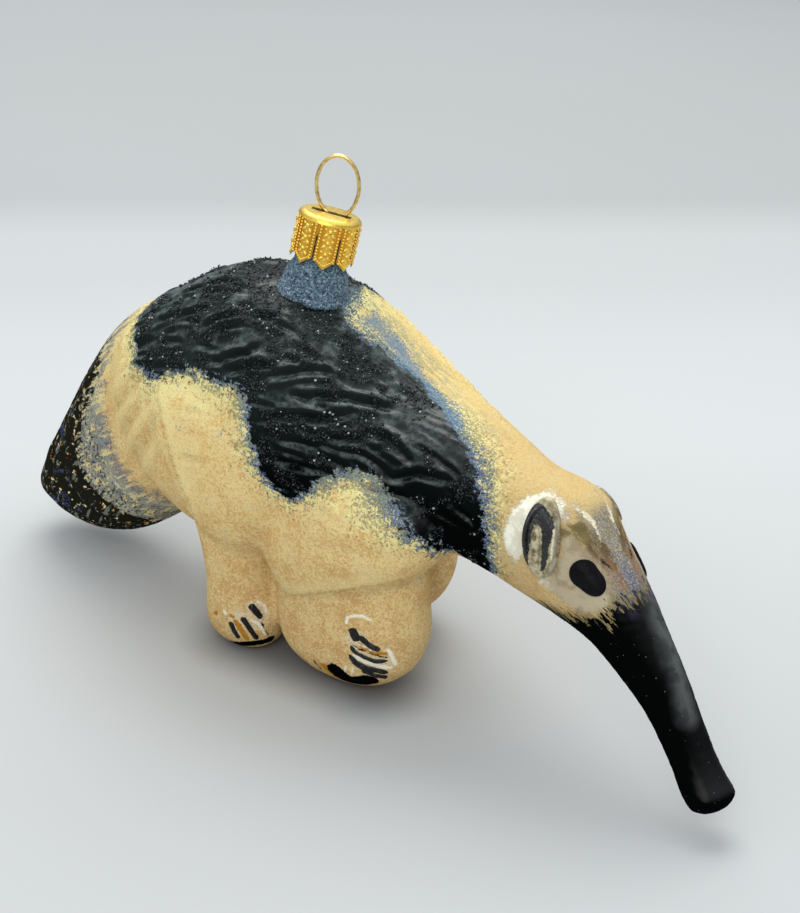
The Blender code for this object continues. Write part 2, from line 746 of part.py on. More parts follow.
def main():
    for old in list(bpy.data.objects):
        bpy.data.objects.remove(old)
    parts = []
    trunk = ((torso, "cream"), (neck, "cream"), (head, "cream"), (snout, "black"), (tail, "cream"))
    for make, name in trunk:
        body = make()
        colour(body, name)
        parts.append(body)
    for body in make_legs():
        colour(body, "black" if body.name.startswith("claws") else "cream")
        parts.append(body)
    for word, side in (("right", 1), ("left", -1)):
        for make in (ear, eye):
            body = make(make.__name__ + "_" + word, side)
            colour(body, "black")
            parts.append(body)
    for make, name in ((spout, "blue"), (cap, "gold"), (hanger, "wire")):
        body = make()
        colour(body, name)
        parts.append(body)
    rest_on_origin(parts)
    total = 0
    for part in parts:
        shade(part)
        part.data.calc_loop_triangles()
        count = len(part.data.loop_triangles)
        total += count
        print(part.name, count)
    print("triangles in all", total)


main()
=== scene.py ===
# %% [markdown]
# # A blown glass anteater ornament
# The real thing is a thin glass bubble blown into a mould, painted by hand and sugared with fine
# grains. A pressed metal cap with a wire ring closes the glass spout on its back. This lesson loads
# the plain solids of the ornament, dresses them piece by piece, and lights them on a pale table.

# %% Load the solids
import math
import random

import bmesh
import bpy
import numpy as np
from mathutils import Matrix, Vector, noise
from mathutils.bvhtree import BVHTree


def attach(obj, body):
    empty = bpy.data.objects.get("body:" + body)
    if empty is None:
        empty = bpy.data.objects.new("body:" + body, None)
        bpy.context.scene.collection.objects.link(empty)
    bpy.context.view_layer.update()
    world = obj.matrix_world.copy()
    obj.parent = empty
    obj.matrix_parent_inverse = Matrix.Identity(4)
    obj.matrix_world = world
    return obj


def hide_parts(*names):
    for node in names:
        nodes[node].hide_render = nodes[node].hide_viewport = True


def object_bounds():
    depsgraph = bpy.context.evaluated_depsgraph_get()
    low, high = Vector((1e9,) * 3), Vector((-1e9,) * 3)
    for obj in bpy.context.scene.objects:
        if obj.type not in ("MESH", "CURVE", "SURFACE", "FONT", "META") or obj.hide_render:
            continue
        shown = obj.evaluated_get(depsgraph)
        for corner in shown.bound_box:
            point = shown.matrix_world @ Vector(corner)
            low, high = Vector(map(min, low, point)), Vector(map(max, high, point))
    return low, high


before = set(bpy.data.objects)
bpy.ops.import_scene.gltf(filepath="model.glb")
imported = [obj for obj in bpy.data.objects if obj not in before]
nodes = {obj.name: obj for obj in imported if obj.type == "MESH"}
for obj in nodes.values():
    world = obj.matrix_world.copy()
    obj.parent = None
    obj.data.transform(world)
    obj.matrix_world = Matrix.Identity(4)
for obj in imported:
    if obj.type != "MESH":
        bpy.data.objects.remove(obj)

cad_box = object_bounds()
MM = 0.001
print("solids:", len(nodes), "box:", [[round(v / MM, 1) for v in corner] for corner in cad_box])

# %% [markdown]
# Some small helpers come first. Blender's operators act on whatever is selected, so each step
# starts from an empty selection, picks one object, and works on that.


# %% Select, edit, join and apply
def clear_selection():
    bpy.ops.object.select_all(action="DESELECT")


def pick(*pieces):
    clear_selection()
    for piece in pieces:
        piece.select_set(True)
    bpy.context.view_layer.objects.active = pieces[0]


def edit(select="SELECT"):
    """Open the picked piece for editing: with all of it selected, nothing, or what was marked."""
    bpy.ops.object.mode_set(mode="EDIT")
    if select != "MARKED":
        bpy.ops.mesh.select_all(action=select)


def leave_edit():
    bpy.ops.object.mode_set(mode="OBJECT")


def grow(rise, scale, centre=(0, 0, 0)):
    """Extrude what is selected upwards, and widen or narrow the new ring."""
    bpy.ops.mesh.extrude_region_move(TRANSFORM_OT_translate={"value": (0, 0, rise * MM)})
    bpy.ops.transform.resize(value=(scale, scale, 1), center_override=centre)


def basic(add, **settings):
    """Add one of Blender's basic meshes alone, with its place, turn and size in its mesh."""
    clear_selection()
    add(**settings)
    bpy.ops.object.transform_apply(location=True, rotation=True, scale=True)
    return bpy.context.object


def joined(name, *pieces):
    pick(*pieces)
    bpy.ops.object.join()
    whole = bpy.context.view_layer.objects.active
    whole.name = name
    return whole


def add_object(name, data):
    made = bpy.data.objects.new(name, data)
    bpy.context.scene.collection.objects.link(made)
    return made


def apply_modifier(piece, kind, **settings):
    """Add one modifier to a piece and make its result the piece's own mesh."""
    pick(piece)
    step = piece.modifiers.new(kind.lower(), kind)
    for key, value in settings.items():
        setattr(step, key, value)
    bpy.ops.object.modifier_apply(modifier=step.name)


def settle(piece):
    """Bring a piece's own place, turn and size into its mesh, and face its skin outwards."""
    pick(piece)
    bpy.ops.object.transform_apply(location=True, rotation=True, scale=True)
    edit()
    bpy.ops.mesh.normals_make_consistent(inside=False)
    leave_edit()
    bpy.ops.object.shade_smooth()


def finish_piece(piece, finish, slot, *replaced):
    piece.data.materials.clear()
    piece.data.materials.append(finish)
    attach(piece, "root")
    if replaced:
        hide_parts(*replaced)
    print(piece.name, len(piece.data.polygons), "faces")


# %% [markdown]
# The camera stands where the photographer's did: to the animal's right and a little in front of it,
# 26 degrees up, rolled by 3 degrees. It is placed first, so that every later look uses it.

# %% Camera
VIEW_AROUND = math.radians(32)
VIEW_UP = math.radians(26)
VIEW_ROLL = math.radians(3)
VIEW_DISTANCE = 290 * MM
LOOK_AT = Vector((6.93, 0, 41.47)) * MM
PHOTO_WIDE = 800
FOCAL_PIXELS = 1595
SENSOR = 36

back = Vector((math.sin(VIEW_AROUND) * math.cos(VIEW_UP),
               -math.cos(VIEW_AROUND) * math.cos(VIEW_UP), math.sin(VIEW_UP)))
level = Vector((math.cos(VIEW_AROUND), math.sin(VIEW_AROUND), 0))
above = back.cross(level)
right = level * math.cos(VIEW_ROLL) + above * math.sin(VIEW_ROLL)
above = back.cross(right)
turn = Matrix((right, above, back)).transposed().to_4x4()

camera_data = bpy.data.cameras.new("camera")
camera_data.sensor_fit = "HORIZONTAL"
camera_data.sensor_width = SENSOR
camera_data.lens = FOCAL_PIXELS * SENSOR / PHOTO_WIDE
camera = add_object("camera", camera_data)
camera.matrix_world = Matrix.Translation(LOOK_AT + back * VIEW_DISTANCE) @ turn
bpy.context.scene.camera = camera
bpy.context.scene.view_settings.view_transform = "Standard"
print("lens", round(camera_data.lens, 1), "mm")

# %% [markdown]
# Shader maths reads best as plain expressions. This class wraps one socket of a node tree. Its
# operators add Math nodes, and its `node` method adds any other node.


# %% A class for shader maths
class Wire:
    """One output socket of a node tree, or the bare tree to start from."""

    def __init__(self, tree, socket=None):
        self.tree = tree
        self.socket = socket

    def node(self, kind, settings=None, inputs=None, output=0):
        """Add a node, set it up, plug in values or wires, and return one of its outputs."""
        made = self.tree.nodes.new(kind)
        for key, value in (settings or {}).items():
            if key == "stops":
                while len(made.color_ramp.elements) < len(value):
                    made.color_ramp.elements.new(0.5)
                for stop, (place, colour) in zip(made.color_ramp.elements, value):
                    stop.position = place
                    stop.color = colour
            else:
                setattr(made, key, value)
        for key, value in (inputs or {}).items():
            if isinstance(value, Wire):
                self.tree.links.new(value.socket, made.inputs[key])
            else:
                made.inputs[key].default_value = value
        return Wire(self.tree, made.outputs[output])

    def math(self, operation, *others):
        values = dict(enumerate((self,) + others))
        return self.node("ShaderNodeMath", {"operation": operation}, values)

    def vector(self, operation, other=None, output=0, **inputs):
        values = {0: self}
        if other is not None:
            values[1] = other
        values.update(inputs)
        return self.node("ShaderNodeVectorMath", {"operation": operation}, values, output)

    def __add__(self, other):
        return self.math("ADD", other)

    def __sub__(self, other):
        return self.math("SUBTRACT", other)

    def __rsub__(self, other):
        return self.math("MULTIPLY", -1.0).math("ADD", other)

    def __mul__(self, other):
        return self.math("MULTIPLY", other)

    def __truediv__(self, other):
        return self.math("DIVIDE", other)

    __radd__ = __add__
    __rmul__ = __mul__

    def most(self, other):
        return self.math("MAXIMUM", other)

    def axis(self, number):
        """One of the three numbers of a vector: 0, 1 or 2."""
        return self.node("ShaderNodeSeparateXYZ", {}, {0: self}, number)

    def step(self, low, high):
        """0 below low, 1 above high, and a smooth rise between them."""
        values = {"Value": self, "From Min": low, "From Max": high}
        return self.node("ShaderNodeMapRange", {"interpolation_type": "SMOOTHSTEP"}, values)

    def noise(self, scale, detail=2.0, roughness=0.5):
        values = {"Vector": self, "Scale": scale, "Detail": detail, "Roughness": roughness}
        return self.node("ShaderNodeTexNoise", {}, values)

    def cells(self, scale, output="Distance"):
        return self.node("ShaderNodeTexVoronoi", {}, {"Vector": self, "Scale": scale}, output)

    def attribute(self, name, output="Fac"):
        return self.node("ShaderNodeAttribute", {"attribute_name": name}, {}, output)

    def mix(self, first, second):
        """The first colour where this mask is 0 and the second where it is 1."""
        values = {0: self, 6: first, 7: second}
        return self.node("ShaderNodeMix", {"data_type": "RGBA"}, values, 2)


def triple(first, second, third):
    return first.node("ShaderNodeCombineXYZ", {}, {0: first, 1: second, 2: third})


def new_finish(name):
    """A material, its shader node, and the object coordinates in millimetres."""
    material = bpy.data.materials.new(name)
    material.use_nodes = True
    tree = material.node_tree
    place = Wire(tree).node("ShaderNodeTexCoord", {}, {}, "Object").vector("SCALE", Scale=1 / MM)
    return material, tree.nodes["Principled BSDF"], place


def connect(shader, **inputs):
    """Plug wires or plain values into a shader; an underscore stands for a space."""
    for key, value in inputs.items():
        socket = shader.inputs[key.replace("_", " ")]
        if isinstance(value, Wire):
            value.tree.links.new(value.socket, socket)
        else:
            socket.default_value = value


def bump(height, distance, strength=1.0):
    return height.node("ShaderNodeBump", {}, {"Height": height, "Distance": distance, "Strength": strength})


# %% [markdown]
# The glass body has no seams, but its solids stand 0.3 mm apart. Each copy is swollen a little until
# it runs into its neighbours, then one voxel remesh melts them together. Smoothing takes the steps
# off, and moving the surface back in by the same amount keeps the size.

# %% The skin: melt the solids into one
FLESH = [
    "torso", "neck", "head", "snout", "tail", "leg_front_right", "leg_front_left", "leg_hind_right",
    "leg_hind_left",
]
SWELL = 0.26 * MM
VOXEL = 0.81 * MM
SAME_POINT = 0.002 * MM

copies = []
for name in FLESH:
    twin = add_object("skin_" + name, nodes[name].data.copy())
    pick(twin)
    edit()
    bpy.ops.mesh.remove_doubles(threshold=SAME_POINT)
    leave_edit()
    apply_modifier(twin, "DISPLACE", strength=SWELL, mid_level=0.0, direction="NORMAL")
    copies.append(twin)
skin = joined("skin", *copies)
apply_modifier(skin, "REMESH", mode="VOXEL", voxel_size=VOXEL, adaptivity=0.0)
apply_modifier(skin, "SMOOTH", factor=0.5, iterations=4)
apply_modifier(skin, "DISPLACE", strength=-SWELL, mid_level=0.0, direction="NORMAL")
print("skin faces", len(skin.data.polygons))

# %% Drop the hollows that melting may leave inside
shape = bmesh.new()
shape.from_mesh(skin.data)
waiting = set(shape.verts)
islands = []
while waiting:
    island = [waiting.pop()]
    for vert in island:
        for edge in vert.link_edges:
            other = edge.other_vert(vert)
            if other in waiting:
                waiting.remove(other)
                island.append(other)
    islands.append(island)
islands.sort(key=len)
for island in islands[:-1]:
    bmesh.ops.delete(shape, geom=island, context="VERTS")
shape.to_mesh(skin.data)
shape.free()
print("closed surfaces found", len(islands), "and kept one of", len(skin.data.vertices), "points")

# %% [markdown]
# The paint lies in zones: a black vest over the back, a black snout, and a tail that goes from cream
# through grey-blue mist to black. For each zone the skin carries the distance to the zone's edge in
# millimetres. The shader then roughens that distance with noise, so that the edge is speckled and
# sharp at any size. On the body a place is given by how far along it lies and by its angle from the
# spine, in degrees.

# %% Measure the skin
FAR_AWAY = 1e9


def read_all(rows, key):
    flat = np.empty(len(rows) * 3)
    rows.foreach_get(key, flat)
    return flat.reshape(-1, 3)


def read_points(piece):
    return read_all(piece.data.vertices, "co") / MM


def read_normals(piece):
    return read_all(piece.data.vertex_normals, "vector")


def path_distance(places, path):
    """Distance to a path, how many legs along it the nearest point is, and the gap to that point."""
    best = np.full(len(places), FAR_AWAY)
    along = np.zeros(len(places))
    offset = np.zeros(places.shape)
    for k in range(len(path) - 1):
        start = np.array(path[k], float)
        run = np.array(path[k + 1], float) - start
        share = np.clip((places - start) @ run / (run @ run), 0, 1)
        reach = places - start - share[:, None] * run
        gap = np.linalg.norm(reach, axis=1)
        closer = gap < best
        best[closer] = gap[closer]
        along[closer] = k + share[closer]
        offset[closer] = reach[closer]
    return best, along, offset


def zone_distance(places, outline):
    """Signed distance to a closed outline in a plane, less than 0 inside, and where it is nearest."""
    corners = np.array([row[:2] for row in outline] + [outline[0][:2]], float)
    best, nearest, offset = path_distance(places, corners)
    inside = np.zeros(len(places), bool)
    for start, end in zip(corners[:-1], corners[1:]):
        run = end - start
        crosses = (start[1] > places[:, 1]) != (end[1] > places[:, 1])
        rise = np.where(run[1] == 0, 1e-9, run[1])
        inside ^= crosses & (places[:, 0] < (places[:, 1] - start[1]) * run[0] / rise + start[0])
    return np.where(inside, -best, best), nearest


def along_outline(outline, nearest, column):
    values = np.array([row[column] for row in outline] + [outline[0][column]], float)
    return np.interp(nearest, np.arange(len(values)), values)


# %% Outline of the black vest
MM_PER_DEGREE = 0.40
BODY_AXIS_HEIGHT = 42.0

# Place along the body, degrees from the spine, width of the blue spray and of the pale yellow haze
# outside the edge.
VEST_LOW = [
    (-47.5, -4, 0, 5), (-47.5, 29, 0.3, 6), (-44, 44, 0.8, 7), (-40.5, 56, 2, 7), (-35.5, 62, 1.5, 8),
    (-31, 59, 0.6, 9), (-26, 54, 0.6, 9), (-21, 55, 1.0, 8), (-17, 54, 1.8, 8), (-14, 55, 1.8, 7),
    (-11.5, 58, 2.0, 6), (-10, 64, 2.4, 5), (-9, 74, 2.4, 4), (-7.5, 83, 2, 3), (-6, 90, 1, 2),
    (-4, 94, 0.8, 2), (-1, 95.5, 1.0, 2), (2, 91, 1.6, 3), (4, 84, 2.0, 5), (7, 78, 2.4, 7),
    (10, 74, 2.4, 8), (13.5, 75, 4, 8), (16.5, 81, 4.5, 8), (19.5, 89, 3.6, 7), (21.5, 96, 2, 6),
    (23.5, 101, 1, 3), (26, 109, 0.3, 1), (27.5, 120, 0.3, 1), (29, 150, 0.5, 1), (29.5, 190, 0.5, 1),
    (34, 190, 0.5, 1), (34, 150, 0.8, 1), (33.6, 113, 2, 3), (33, 93, 2.4, 4), (31.5, 77, 2.4, 4),
    (30, 61, 2.6, 5),
]
VEST_HIGH_RIGHT = [
    (27, 46, 3.4, 6), (23, 35, 4.4, 7), (17.3, 18, 4.6, 8), (12.3, 6, 4.4, 9), (8, 5, 4.2, 9),
    (5, 6, 4.0, 9), (2, 7, 3.5, 9), (0, 10, 3.0, 9), (-3, 11, 2.2, 9), (-6.5, 3, 0.5, 8),
    (-7, -4, 0.5, 8),
]
VEST_HIGH_LEFT = [
    (28, 76, 3.4, 6), (20, 74, 4, 7), (12, 70, 4, 8), (4, 68, 3, 9), (-2, 66, 1.5, 9), (-7, 52, 1, 9),
    (-8.5, 26, 1, 8), (-7, -4, 0.5, 8),
]


def scaled(outline):
    return [(row[0], row[1] * MM_PER_DEGREE) + tuple(row[2:]) for row in outline]


def vest_zones(points):
    """Distance to the vest's edge at each point, and the widths of the two mists there."""
    degrees = np.degrees(np.arctan2(np.abs(points[:, 1]), points[:, 2] - BODY_AXIS_HEIGHT))
    body_place = np.stack([points[:, 0], degrees * MM_PER_DEGREE], axis=1)
    zones = np.zeros((3, len(points)))
    for high, mask in ((VEST_HIGH_RIGHT, points[:, 1] <= 0), (VEST_HIGH_LEFT, points[:, 1] > 0)):
        outline = scaled(VEST_LOW + high)
        gap, nearest = zone_distance(body_place[mask], outline)
        zones[0, mask] = gap
        zones[1, mask] = along_outline(outline, nearest, 2)
        zones[2, mask] = along_outline(outline, nearest, 3)
    return zones


# %% [markdown]
# Wrinkles and small marks need a finer mesh than a plain cream flank does. Each face of the vest, the
# head and the paws is cut in four, and the whole skin is smoothed once more.

# %% Cut the detailed places finer
points = read_points(skin)
vest = vest_zones(points)[0]
head_zone = (points[:, 0] > 36) & (points[:, 0] < 62) & (points[:, 2] > 24)
paw_zone = (points[:, 2] < 22) & (np.abs(points[:, 1]) > 14) & (points[:, 0] > -22) & (points[:, 0] < 22)
wanted = (vest < 1.0) | head_zone | paw_zone
pick(skin)
edit("MARKED")
bpy.ops.mesh.select_mode(type="FACE")
bpy.ops.mesh.select_all(action="DESELECT")
leave_edit()
for polygon in skin.data.polygons:
    polygon.select = all(wanted[v] for v in polygon.vertices)
edit("MARKED")
bpy.ops.mesh.subdivide(number_cuts=1, smoothness=0.0)
leave_edit()
apply_modifier(skin, "SMOOTH", factor=0.5, iterations=3)
points = read_points(skin)
normals = read_normals(skin)
triangles = sum(len(polygon.vertices) - 2 for polygon in skin.data.polygons)
print("skin triangles", triangles)

# %% [markdown]
# The mould gives the glass its fur: short crescent wrinkles along the back, and long ridges that fan
# out over the tail. Each groove here is a short path of points in millimetres. The skin near a path
# sinks in along the path and rises beside it. A step is a path with one side raised: the thigh stands
# proud of the tail's root, and the upper arm overhangs the forearm.

# %% Press grooves and steps into the skin
def skin_surface():
    skin_shape = bmesh.new()
    skin_shape.from_mesh(skin.data)
    tree = BVHTree.FromBMesh(skin_shape)
    skin_shape.free()
    return tree


surface = skin_surface()


def on_skin(point):
    """The place on the skin nearest to a point, with the skin's outward direction, in millimetres."""
    spot, normal = surface.find_nearest(Vector(point) * MM)[:2]
    return np.array(spot) / MM, np.array(normal)


relief = np.zeros(len(points))


def near_path(path, reach):
    """The points of the skin near a path: their numbers, gaps, shares of its length, and ways to it."""
    path = [on_skin(p)[0] for p in path]
    low = np.min(path, axis=0) - reach
    high = np.max(path, axis=0) + reach
    near = np.where(np.all((points > low) & (points < high), axis=1))[0]
    gap, along, offset = path_distance(points[near], path)
    return near, gap, along / (len(path) - 1), offset


def comb(path, width, depth, lip):
    """Press one tapering groove into the skin along a path."""
    near, gap, along, offset = near_path(path, 4 * width)
    taper = np.sin(np.pi * np.clip(along, 0.02, 0.98)) ** 0.7
    groove = -depth * np.exp(-(gap / width) ** 2)
    ridge = depth * lip * np.exp(-((gap - 1.9 * width) / width) ** 2)
    relief[near] += taper * (groove + ridge)


def fold(path, toward, high, low, wide):
    """Raise the skin on the side that the arrow points to, and sink it on the other side."""
    near, gap, along, offset = near_path(path, 3 * wide)
    side = offset @ np.array(toward, float)
    taper = np.sin(np.pi * np.clip(along, 0.0, 1.0)) ** 0.6
    raised = high * np.exp(-(gap / wide) ** 2)
    sunk = -low * np.exp(-(gap / (0.55 * wide)) ** 2)
    relief[near] += taper * np.where(side > 0, raised, sunk)


# %% The grooves and folds that the photograph shows
BACK_GROOVES = [
    [(-26, -17, 63), (-23, -15, 65), (-19, -14, 67)],
    [(-22, -17, 63), (-20, -16, 65), (-17, -15, 66)],
    [(-22, -20, 59), (-18, -19, 60), (-14, -18, 62), (-12, -16, 64)],
    [(-17, -20, 58), (-13, -19, 60), (-9, -18, 61)],
    [(-9, -19, 59), (-6, -18, 60), (-3, -16, 61), (1, -13, 61)],
    [(-17, -14, 67), (-15, -13, 67), (-12, -12, 67)],
    [(-38, -9, 64), (-33, -9, 67), (-30, -8, 68), (-26, -7, 69)],
    [(-8, -22, 52), (-4, -21, 54), (0, -19, 54), (4, -18, 54)],
    [(-4, -22, 50), (2, -21, 50), (7, -18, 50)],
    [(2, -20, 51), (6, -17, 51), (10, -15, 51)],
    [(-3, -19, 57), (1, -16, 57), (5, -13, 57)],
    [(-11, -9, 68), (-8, -7, 68), (-4, -3, 68)],
    [(-1, -20, 54), (2, -18, 54), (6, -15, 55)],
    [(8, -15, 52), (12, -13, 51), (18, -14, 50)],
    [(16, -16, 46), (20, -15, 48), (26, -14, 48)],
    [(-34, -14, 62), (-30, -14, 64), (-26, -13, 66)],
    [(-5, -23, 46), (0, -22, 46), (5, -21, 46)],
    [(4, -14, 57), (8, -12, 57), (12, -10, 56)],
    [(10, -20, 44), (15, -18, 44), (20, -17, 44)],
]
RUMP_GROOVES = [
    [(-51.8, -13.5, 37.5), (-44.6, -17.5, 44.1), (-40.3, -18.8, 48.9), (-37, -18.8, 53)],
    [(-49.8, -13.7, 31.7), (-42.5, -18.4, 39.9), (-38.3, -20.1, 45.2), (-34.5, -20.6, 49.7)],
    [(-48.5, -13.1, 26.4), (-39.3, -18.9, 35.8), (-34.7, -21.2, 41.8), (-30.0, -23.6, 47.4)],
    [(-46, -17, 52), (-42, -17, 56), (-38, -16, 58)],
]
TAIL_GROOVES = [
    [(-64, -10, 34), (-64, -11, 26), (-62, -11, 20), (-57, -11, 16), (-50, -7, 12)],
    [(-60, -10, 40), (-62, -11, 32), (-60, -12, 25), (-55, -12, 20), (-47, -9, 16)],
    [(-69, -9, 27), (-68, -10, 19), (-64, -10, 13), (-56, -8, 9)],
    [(-72, -8, 24), (-72, -8, 18), (-71, -8, 11)],
    [(-56, -12, 38), (-57, -13, 31), (-55, -13, 25), (-50, -11.5, 20)],
    [(-57, -10, 45), (-59, -11, 38), (-59, -12, 30)],
]
SOFT_GROOVES = [
    [(-17, -26, 42), (-14, -26, 36), (-12, -24, 29)],
    [(0, -24, 32), (10, -24, 34), (18, -23, 35), (24, -19, 36)],
]
# Paths, width, depth, and the height of the lip beside the groove as a share of its depth.
GROOVE_SETS = [(BACK_GROOVES, 0.66, 0.80, 0.7), (RUMP_GROOVES, 1.5, 0.62, 0.5),
               (TAIL_GROOVES, 1.4, 1.05, 0.6), (SOFT_GROOVES, 1.5, 0.25, 0.3)]
for paths, width, depth, lip in GROOVE_SETS:
    for path in paths:
        for side in (1, -1):
            comb([(x, y * side, z) for x, y, z in path], width, depth, lip)

# Path, arrow to the raised side, height of that side, depth of the other, reach, and the sides of
# the body that have it: 1 is the right and -1 the left.
FOLDS = [
    ([(-33, -20.5, 54), (-31.2, -22.2, 50.6), (-28.4, -24.2, 47.2), (-25.9, -25.2, 42.3),
      (-23.5, -25.5, 37.1), (-21.7, -25.0, 32.4), (-21, -23, 27)], (1.0, 0, 0.25), 0.55, 0.8, 2.6,
      (1, -1)),
    ([(-7, -17.5, 17), (-1, -20.3, 19.5), (6.6, -22.4, 23.6), (13.7, -22.3, 26.9), (18.4, -20.8, 28.7),
      (22, -18, 31)], (-0.5, -0.3, 1.0), 0.40, 0.12, 3.0, (1,)),
    ([(46, -11, 46), (50, -10, 45), (53, -9, 43), (56, -9, 39), (59, -9, 36)], (0, 0, 1), 0.22, 0.15,
      2.0, (1, -1)),
    ([(47, -14.5, 33), (52, -15, 31), (57, -15, 30), (62, -14, 26)], (0, 0, 1), 0.15, 0.15, 2.0, (1, -1)),
]
for path, toward, high, low, wide, sides in FOLDS:
    for side in sides:
        arrow = (toward[0], toward[1] * side, toward[2])
        fold([(x, y * side, z) for x, y, z in path], arrow, high, low, wide)

# %% Fill in the finer combing between them
FINE_GROOVES = 260
random.seed(7)
spots = np.where((points[:, 0] > -46) & (points[:, 0] < 30) & (points[:, 2] > 38))[0]
for count in range(FINE_GROOVES):
    here = points[spots[random.randrange(len(spots))]]
    slant = random.uniform(-0.25, 0.35)
    reach = random.uniform(1.6, 4.6)
    fall = -0.012 * (here[0] + 8)
    path = [(here[0] + k * reach, here[1], here[2] + k * reach * (slant * 0.4 + fall) - 0.6 * k * k)
            for k in (-1, -0.4, 0.3, 1)]
    comb(path, random.uniform(0.42, 0.66), random.uniform(0.10, 0.42), 0.6)
print("relief from", round(relief.min(), 2), "to", round(relief.max(), 2), "mm")

# %% [markdown]
# Sand was strewn on parts of the wet black vest. Those places are found with Blender's own noise, and
# the skin there is roughened point by point. The snout has a pebbly underside, and the cream glass
# is softly lumpy. Then every point moves along its own normal, and nothing sinks below the table.

# %% Roughen and move the skin
def field(scale, shift):
    """Smooth noise at each point of the skin, from about -1 to 1."""
    return np.array([noise.noise(Vector(p) * scale + Vector((shift, 0, 0))) for p in points.tolist()])


SPOUT_BASE = np.array([-12.0, -1.0, 71.0])
SPOUT_SAND = 17.0
SOLE = 0.4
BOX_MARGIN = 0.03
zones = vest_zones(points)
vest = zones[0]
clump = field(0.20, 3.0) + 0.7 * field(0.55, 9.0)
near_spout = np.exp(-(np.linalg.norm(points - SPOUT_BASE, axis=1) / SPOUT_SAND) ** 2)
sandy = np.clip((clump + 0.75 * near_spout - 0.03) / 0.30, 0, 1) * np.clip(-vest / 1.2, 0, 1)
pebble = field(0.9, 5.0)
lump = field(0.45, 1.0)
rough = np.random.default_rng(5).normal(0.0, 1.0, len(points))
snout_side = np.clip((points[:, 0] - 52) / 8, 0, 1)
relief += sandy * (0.10 * rough + 0.16 * np.abs(field(1.4, 7.0)))
relief += np.clip(-vest, 0, 1) * (1 - sandy) * 0.05 * pebble
relief += snout_side * 0.10 * pebble * np.clip((-normals[:, 2] + 0.9), 0, 1)
relief += np.clip(vest, 0, 1) * (1 - snout_side) * (0.05 * lump + 0.03 * pebble + 0.012 * rough)
moved = points + normals * relief[:, None]
on_sole = points[:, 2] < SOLE
moved[on_sole] = points[on_sole]
box_low, box_high = (np.array(corner) / MM for corner in cad_box)
moved = np.clip(moved, box_low + BOX_MARGIN, box_high - BOX_MARGIN)
moved[on_sole, 2] = points[on_sole, 2]
skin.data.vertices.foreach_set("co", (moved * MM).ravel())
skin.data.update()
points = read_points(skin)
normals = read_normals(skin)
surface = skin_surface()
print("sandy points", int((sandy > 0.5).sum()), "of", int((vest < 0).sum()), "in the vest")

# %% Distances to the edges of the other painted zones
OUTSIDE = 30.0
TAIL_BLACK = [
    (-58, 56), (-57.5, 45), (-60, 37), (-62.5, 29), (-61.5, 23), (-57, 18.5), (-52, 14), (-47, 11),
    (-41, 14), (-38, -5), (-95, -5), (-95, 54),
]
TAIL_MIST = [
    (-52, 64), (-55, 54), (-56.5, 46), (-57, 40), (-54, 33), (-52, 26.5), (-46, 20.5), (-38, 18),
    (-34, -5), (-95, -5), (-95, 60),
]
side_place = points[:, [0, 2]]
tail_black = zone_distance(side_place, TAIL_BLACK)[0]
tail_mist = zone_distance(side_place, TAIL_MIST)[0]

# The snout's black starts further back under the chin than on top. Distances run along the head.
HEAD_RUN = (0.78, -0.62)
CHIN_TO_BROW = [
    (45, 14.0), (52.5, 18.0), (54.4, 20.4), (57, 22.0), (59.7, 23.8), (61.4, 24.4), (63, 23.6),
    (66, 26.0), (72, 29.0),
]
along_head = points[:, 0] * HEAD_RUN[0] + points[:, 2] * HEAD_RUN[1]
across_head = -points[:, 0] * HEAD_RUN[1] + points[:, 2] * HEAD_RUN[0]
starts = np.interp(across_head, [row[0] for row in CHIN_TO_BROW], [row[1] for row in CHIN_TO_BROW])
snout = starts - along_head
snout[points[:, 0] < 30] = OUTSIDE

# White gloss on the sides of the head, as outlines over the length and height of the right side. The
# left side is folded onto it across the middle of the turned head.
HEAD_MIDDLE = Vector((46.0, -5.5, 0))
HEAD_LEFT = Vector((0.163, 0.987, 0)).normalized()
HEAD_AHEAD = Vector((0.987, -0.163, 0)).normalized()


def head_place(point):
    """A point of the right of the head, in directions of its own: ahead, out to the side, and up."""
    gap = Vector(point) - HEAD_MIDDLE
    return (gap.dot(HEAD_AHEAD), abs(gap.dot(HEAD_LEFT)), point[2])


WHITE_ROUND_EAR = [
    (39.6, -13, 37.0), (42, -13, 41), (42, -12, 44), (42.5, -11, 46.2), (44, -10, 46.4),
    (46.0, -10, 46.0), (47.4, -11, 46.2), (45.4, -9.5, 48.4), (41.6, -9, 49.2), (38.6, -11, 47.9),
    (36.9, -13, 45.6), (36.6, -13, 41.5), (37.6, -13, 38.4),
]
WHITE_ROUND_EYE = [
    (46.6, -13, 45.2), (48.4, -12, 44.2), (50.2, -11.7, 42.8), (53, -11, 41.2), (55.4, -11, 38.4),
    (56.9, -12.3, 35.4), (56.0, -13, 33.6), (54, -14, 32.4), (51, -14, 32.2), (48.3, -14, 33.4),
    (45.4, -14, 34.4), (43.6, -14, 35.0), (46.4, -14, 38), (47.4, -13, 41),
]
WHITE_STREAK = [
    (46.4, -8.8, 48.4), (49.2, -8.8, 48.0), (51.2, -8.6, 46.6), (53.0, -9.3, 44.4), (54.8, -9.3, 41.9),
    (52.0, -9.3, 43.4), (50.0, -9, 45.3), (47.8, -9, 46.9),
]
to_head = points - np.array(HEAD_MIDDLE)
ahead = to_head @ np.array(HEAD_AHEAD)
head_sides = np.stack([ahead, points[:, 2]], axis=1)
SPOUT_FOOT_RADIUS = 8.2
white = np.full(len(points), OUTSIDE)
for outline in (WHITE_ROUND_EAR, WHITE_ROUND_EYE, WHITE_STREAK):
    flat = [(head_place(p)[0], head_place(p)[2]) for p in outline]
    white = np.minimum(white, zone_distance(head_sides, flat)[0])
out_side = np.abs(to_head @ np.array(HEAD_LEFT))
